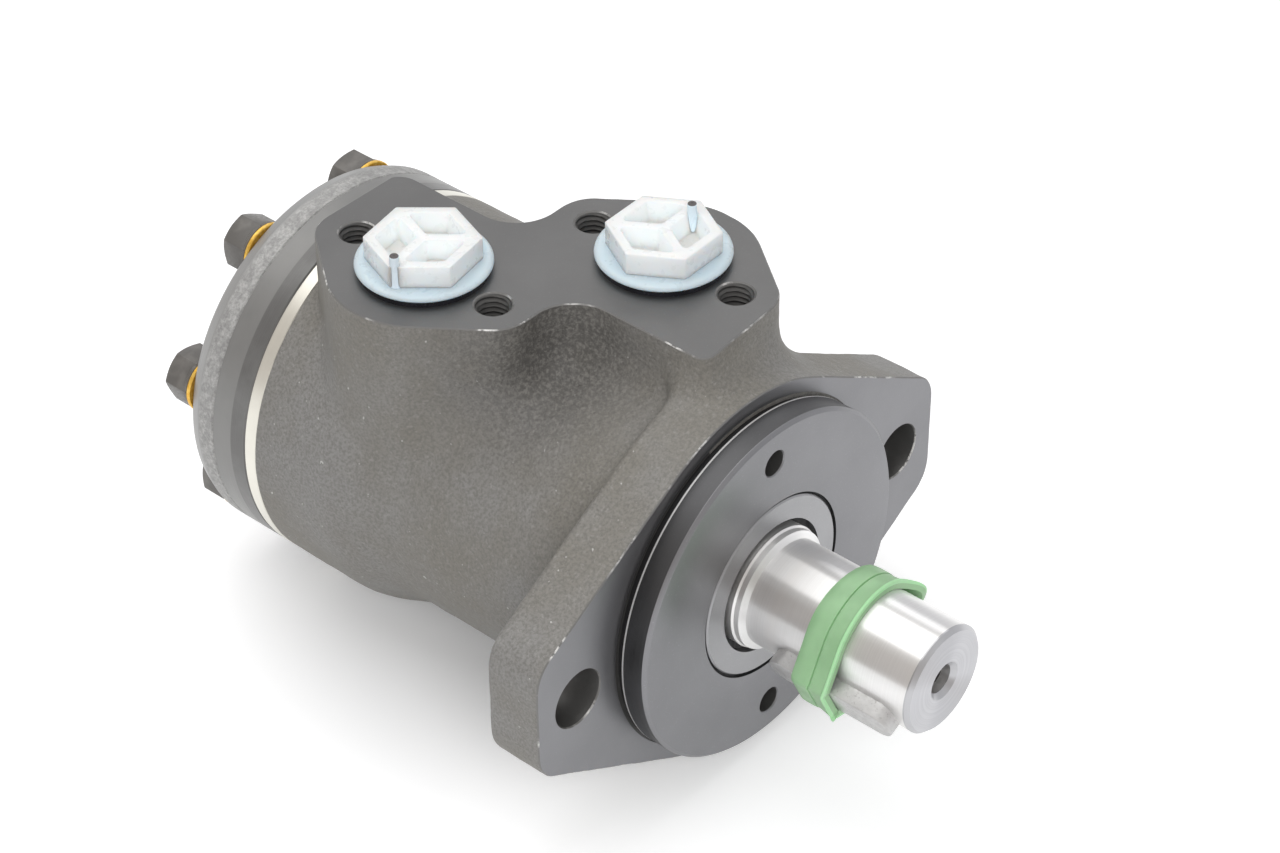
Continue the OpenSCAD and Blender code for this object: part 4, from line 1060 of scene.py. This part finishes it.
def band():
    """Rubber band: rim and flared lip on its outer edge, groove round its middle, fold at the key."""
    y0, y1 = BAND_Y
    # Across the band from the shaft's end: share of the width, and thickness there
    outer = [(0.0, 1.35), (0.01, 1.95), (0.035, 2.12), (0.07, 2.1), (0.10, 1.72), (0.2, 1.62), (0.38, 1.55),
             (0.455, 1.52), (0.468, 1.2), (0.482, 1.2), (0.495, 1.66), (0.6, 1.74), (0.8, 1.72), (0.93, 1.6),
             (0.985, 1.35), (1.0, 1.0)]
    inner = [(1.0, 0.08), (0.5, 0.08), (0.0, 0.08)]
    section = outer + inner
    count, m, highlight_faces = 288, len(section), 3
    verts = []
    for psi in circle(count):
        degrees = math.degrees(psi)
        lip, fold = bell(degrees, BAND_LIP_AT, 17), bell(degrees, BAND_FOLD_AT, 9)
        sway = 0.25 * math.sin(psi * 2 + 0.6)
        for u, g in section:
            edge = max(0, 1 - u / 0.42) ** 1.6
            back = edge * (1.5 * lip + 0.6 * fold)
            tail = max(0, (u - 0.75) / 0.25) ** 2 * 0.35 * math.sin(psi * 3 + 1)
            p = band_point(psi, g + edge * (1.9 * lip + 0.7 * fold))
            verts.append((p.x * MM, (y0 + u * (y1 - y0) - back + sway + tail) * MM, p.y * MM))
    ob = solid("key_band_detail", verts, strips(count, m, closed=True), [BAND, BAND_HIGHLIGHT])
    # The rim's faces of each section take the lighter green: a painted highlight
    ob.data.polygons.foreach_set("material_index", [int(i % m < highlight_faces) for i in range(count * m)])
    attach(ob, "rotor")
    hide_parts("key_band")


shaft_key()
band()


# Screws and washers
def cover_screws():
    """Flanged hexagon screws: turned head with a cup in its top, broken edges, and the shank behind."""
    seat = WASHER_Y[1]
    top = seat + SCREW_FLANGE_T + SCREW_HEAD_H
    corner = SCREW_AF / 2 / math.cos(math.radians(30))
    turned = [(corner + 1, seat), (corner + 1, top - 0.95), (corner + 0.05, top - 0.75), (corner - 1.3, top),
              (corner - 2.1, top), (corner - 2.6, top - 0.35), (corner - 4.6, top - 0.5)]
    rim = [(6.35, seat), (6.7, seat + 0.2), (6.7, seat + 0.85), (6.45, seat + 1.1), (5.6, seat + 1.35)]
    plain = [(3.6, HOUSING_LEN - 16), (4.0, HOUSING_LEN - 15.4), (4.0, seat + 0.3)]
    pieces = []
    for angle, turn in zip(SCREW_ANGLES, SCREW_TURNS):
        centre = on_circle(SCREW_AT, angle)
        ring = [(centre[0] + x, centre[2] + z) for x, z in hexagon(SCREW_AF, turn)]
        verts = [(x * MM, y * MM, z * MM) for y in (seat + 0.4, top) for x, z in ring]
        head = solid("head", verts, caps(2, 6) + strips(2, 6), [SCREW])
        cut(head, tube("shape", centre, Y_AXIS, turned, 96), "INTERSECT")
        soften(head, 0.18, 2, 25)
        flange = tube("flange", centre, Y_AXIS, rim, 72, [SCREW])
        pieces += [head, flange, tube("shank", centre, Y_AXIS, plain, 40, [SCREW])]
    ob = join("cover_screws_detail", pieces)
    shade(ob, 32)
    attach(ob, "motor_body")
    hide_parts("cover_screws")


def screw_washers():
    y0, y1 = WASHER_Y
    rings = [(6.7, y0), (6.9, y0 + 0.2), (6.9, y1 - 0.2), (6.7, y1)]
    pieces = [tube("washer", on_circle(SCREW_AT, a), Y_AXIS, rings, 72, [WASHER]) for a in SCREW_ANGLES]
    ob = join("screw_washers_detail", pieces)
    shade(ob, 32)
    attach(ob, "motor_body")
    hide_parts("screw_washers")


cover_screws()
screw_washers()


# Floor, light and camera
def seen_as_background(t):
    """1 where the background is looked at directly, in a reflection or through something clear."""
    path = t.add("ShaderNodeLightPath")
    return t.math("MAXIMUM", path.outputs["Is Camera Ray"],
                  t.math("MAXIMUM", path.outputs["Is Glossy Ray"], path.outputs["Is Transmission Ray"]))


def stage():
    """Pale floor. A little light of its own takes the open floor to white; round the middle under the object
    it stays low, a painted shadow that deepens the real one.
    """
    t = Tree("floor")
    x, y, _ = t.split()
    far = t.ramp(t.length(x, y), 0.1, 0.6)
    from_middle = t.length(x, t.math("SUBTRACT", y, 0.06))
    # Weaker glow round the middle, under the object: a painted shadow
    near = t.ramp(from_middle, 0.03, 0.09, PAINTED_SHADOW_GLOW, OPEN_GLOW)
    glow = t.math("MULTIPLY_ADD", far, 1.0 - OPEN_GLOW, near)
    t.set(Base_Color=t.mix(far, (0.88, 0.88, 0.885), (0.3, 0.3, 0.3)), Roughness=0.9, Specular_IOR_Level=0.0,
          Emission_Color=(1.0, 1.0, 1.0), Emission_Strength=t.math("MULTIPLY", seen_as_background(t), glow))
    z = -STACK_R * MM
    corners = [(-6, -6, z), (6, -6, z), (6, 6, z), (-6, 6, z)]
    floor = new_object("floor", corners, [(0, 1, 2, 3)], [t.material])


class WorldTree(Tree):
    """The studio round the object, with the same short calls."""

    def __init__(self, name):
        world = bpy.data.worlds.new(name)
        scene.world = world
        world.use_nodes = True
        self.nt = world.node_tree
        self.back = self.nt.nodes["Background"]
        self.coords = self.add("ShaderNodeTexCoord").outputs["Generated"]


def studio():
    """White where it is looked at. In reflections the walls are a little greyer than the ceiling."""
    t = WorldTree("studio")
    x, _, z = t.split()
    walls = t.mix(t.ramp(x, -0.5, 0.5), (0.66, 0.625, 0.60), (0.80, 0.80, 0.815))
    room = t.mix(t.ramp(z, 0.62, 0.84), walls, (0.96, 0.95, 0.93))
    path = t.add("ShaderNodeLightPath")
    t.put(t.back.inputs["Color"], t.mix(path.outputs["Is Glossy Ray"], (1.0, 1.0, 1.0), room))
    level = t.math("MULTIPLY_ADD", seen_as_background(t), 1.0 - WORLD_LEVEL, WORLD_LEVEL)
    t.put(t.back.inputs["Strength"], level)


def area_light(name, place, target, size, power, mirrored=True):
    """A soft lamp. One that isn't mirrored lights, but metal shows no square of it."""
    light = bpy.data.lights.new(name, "AREA")
    light.shape = "RECTANGLE"
    light.size, light.size_y = size
    light.energy = power
    ob = bpy.data.objects.new(name, light)
    scene.collection.objects.link(ob)
    ob.location = place
    ob.visible_glossy = mirrored
    ob.rotation_euler = (Vector(target) - Vector(place)).to_track_quat("-Z", "Y").to_euler()


def camera():
    """Camera at the place the photograph was taken from."""
    cam = bpy.data.cameras.new("camera")
    cam.sensor_fit = "HORIZONTAL"
    cam.sensor_width = 36.0
    cam.lens = 96.02
    cam.clip_start = 0.01
    cam.clip_end = 20
    ob = bpy.data.objects.new("camera", cam)
    scene.collection.objects.link(ob)
    forward = Vector((0.58893, 0.51747, -0.62079)).normalized()
    right = forward.cross(Vector((0.47013, 0.40544, 0.78396))).normalized()
    m = Matrix((right, right.cross(forward).normalized(), -forward)).transposed().to_4x4()
    m.translation = Vector((-0.43017, -0.34849, 0.47733))
    ob.matrix_world = m
    scene.camera = ob


stage()
studio()
camera()
area_light("top", (0.0, 0.3, 0.95), (0, 0.03, 0), (1.0, 1.0), 4.2)
area_light("left", (-0.65, -0.6, 0.6), (0, 0.03, 0), (0.5, 0.5), 4.2, mirrored=False)
area_light("right", (0.8, 0.5, 0.65), (0, 0.03, 0), (0.3, 0.3), 0.5)
scene.view_settings.view_transform = "Standard"
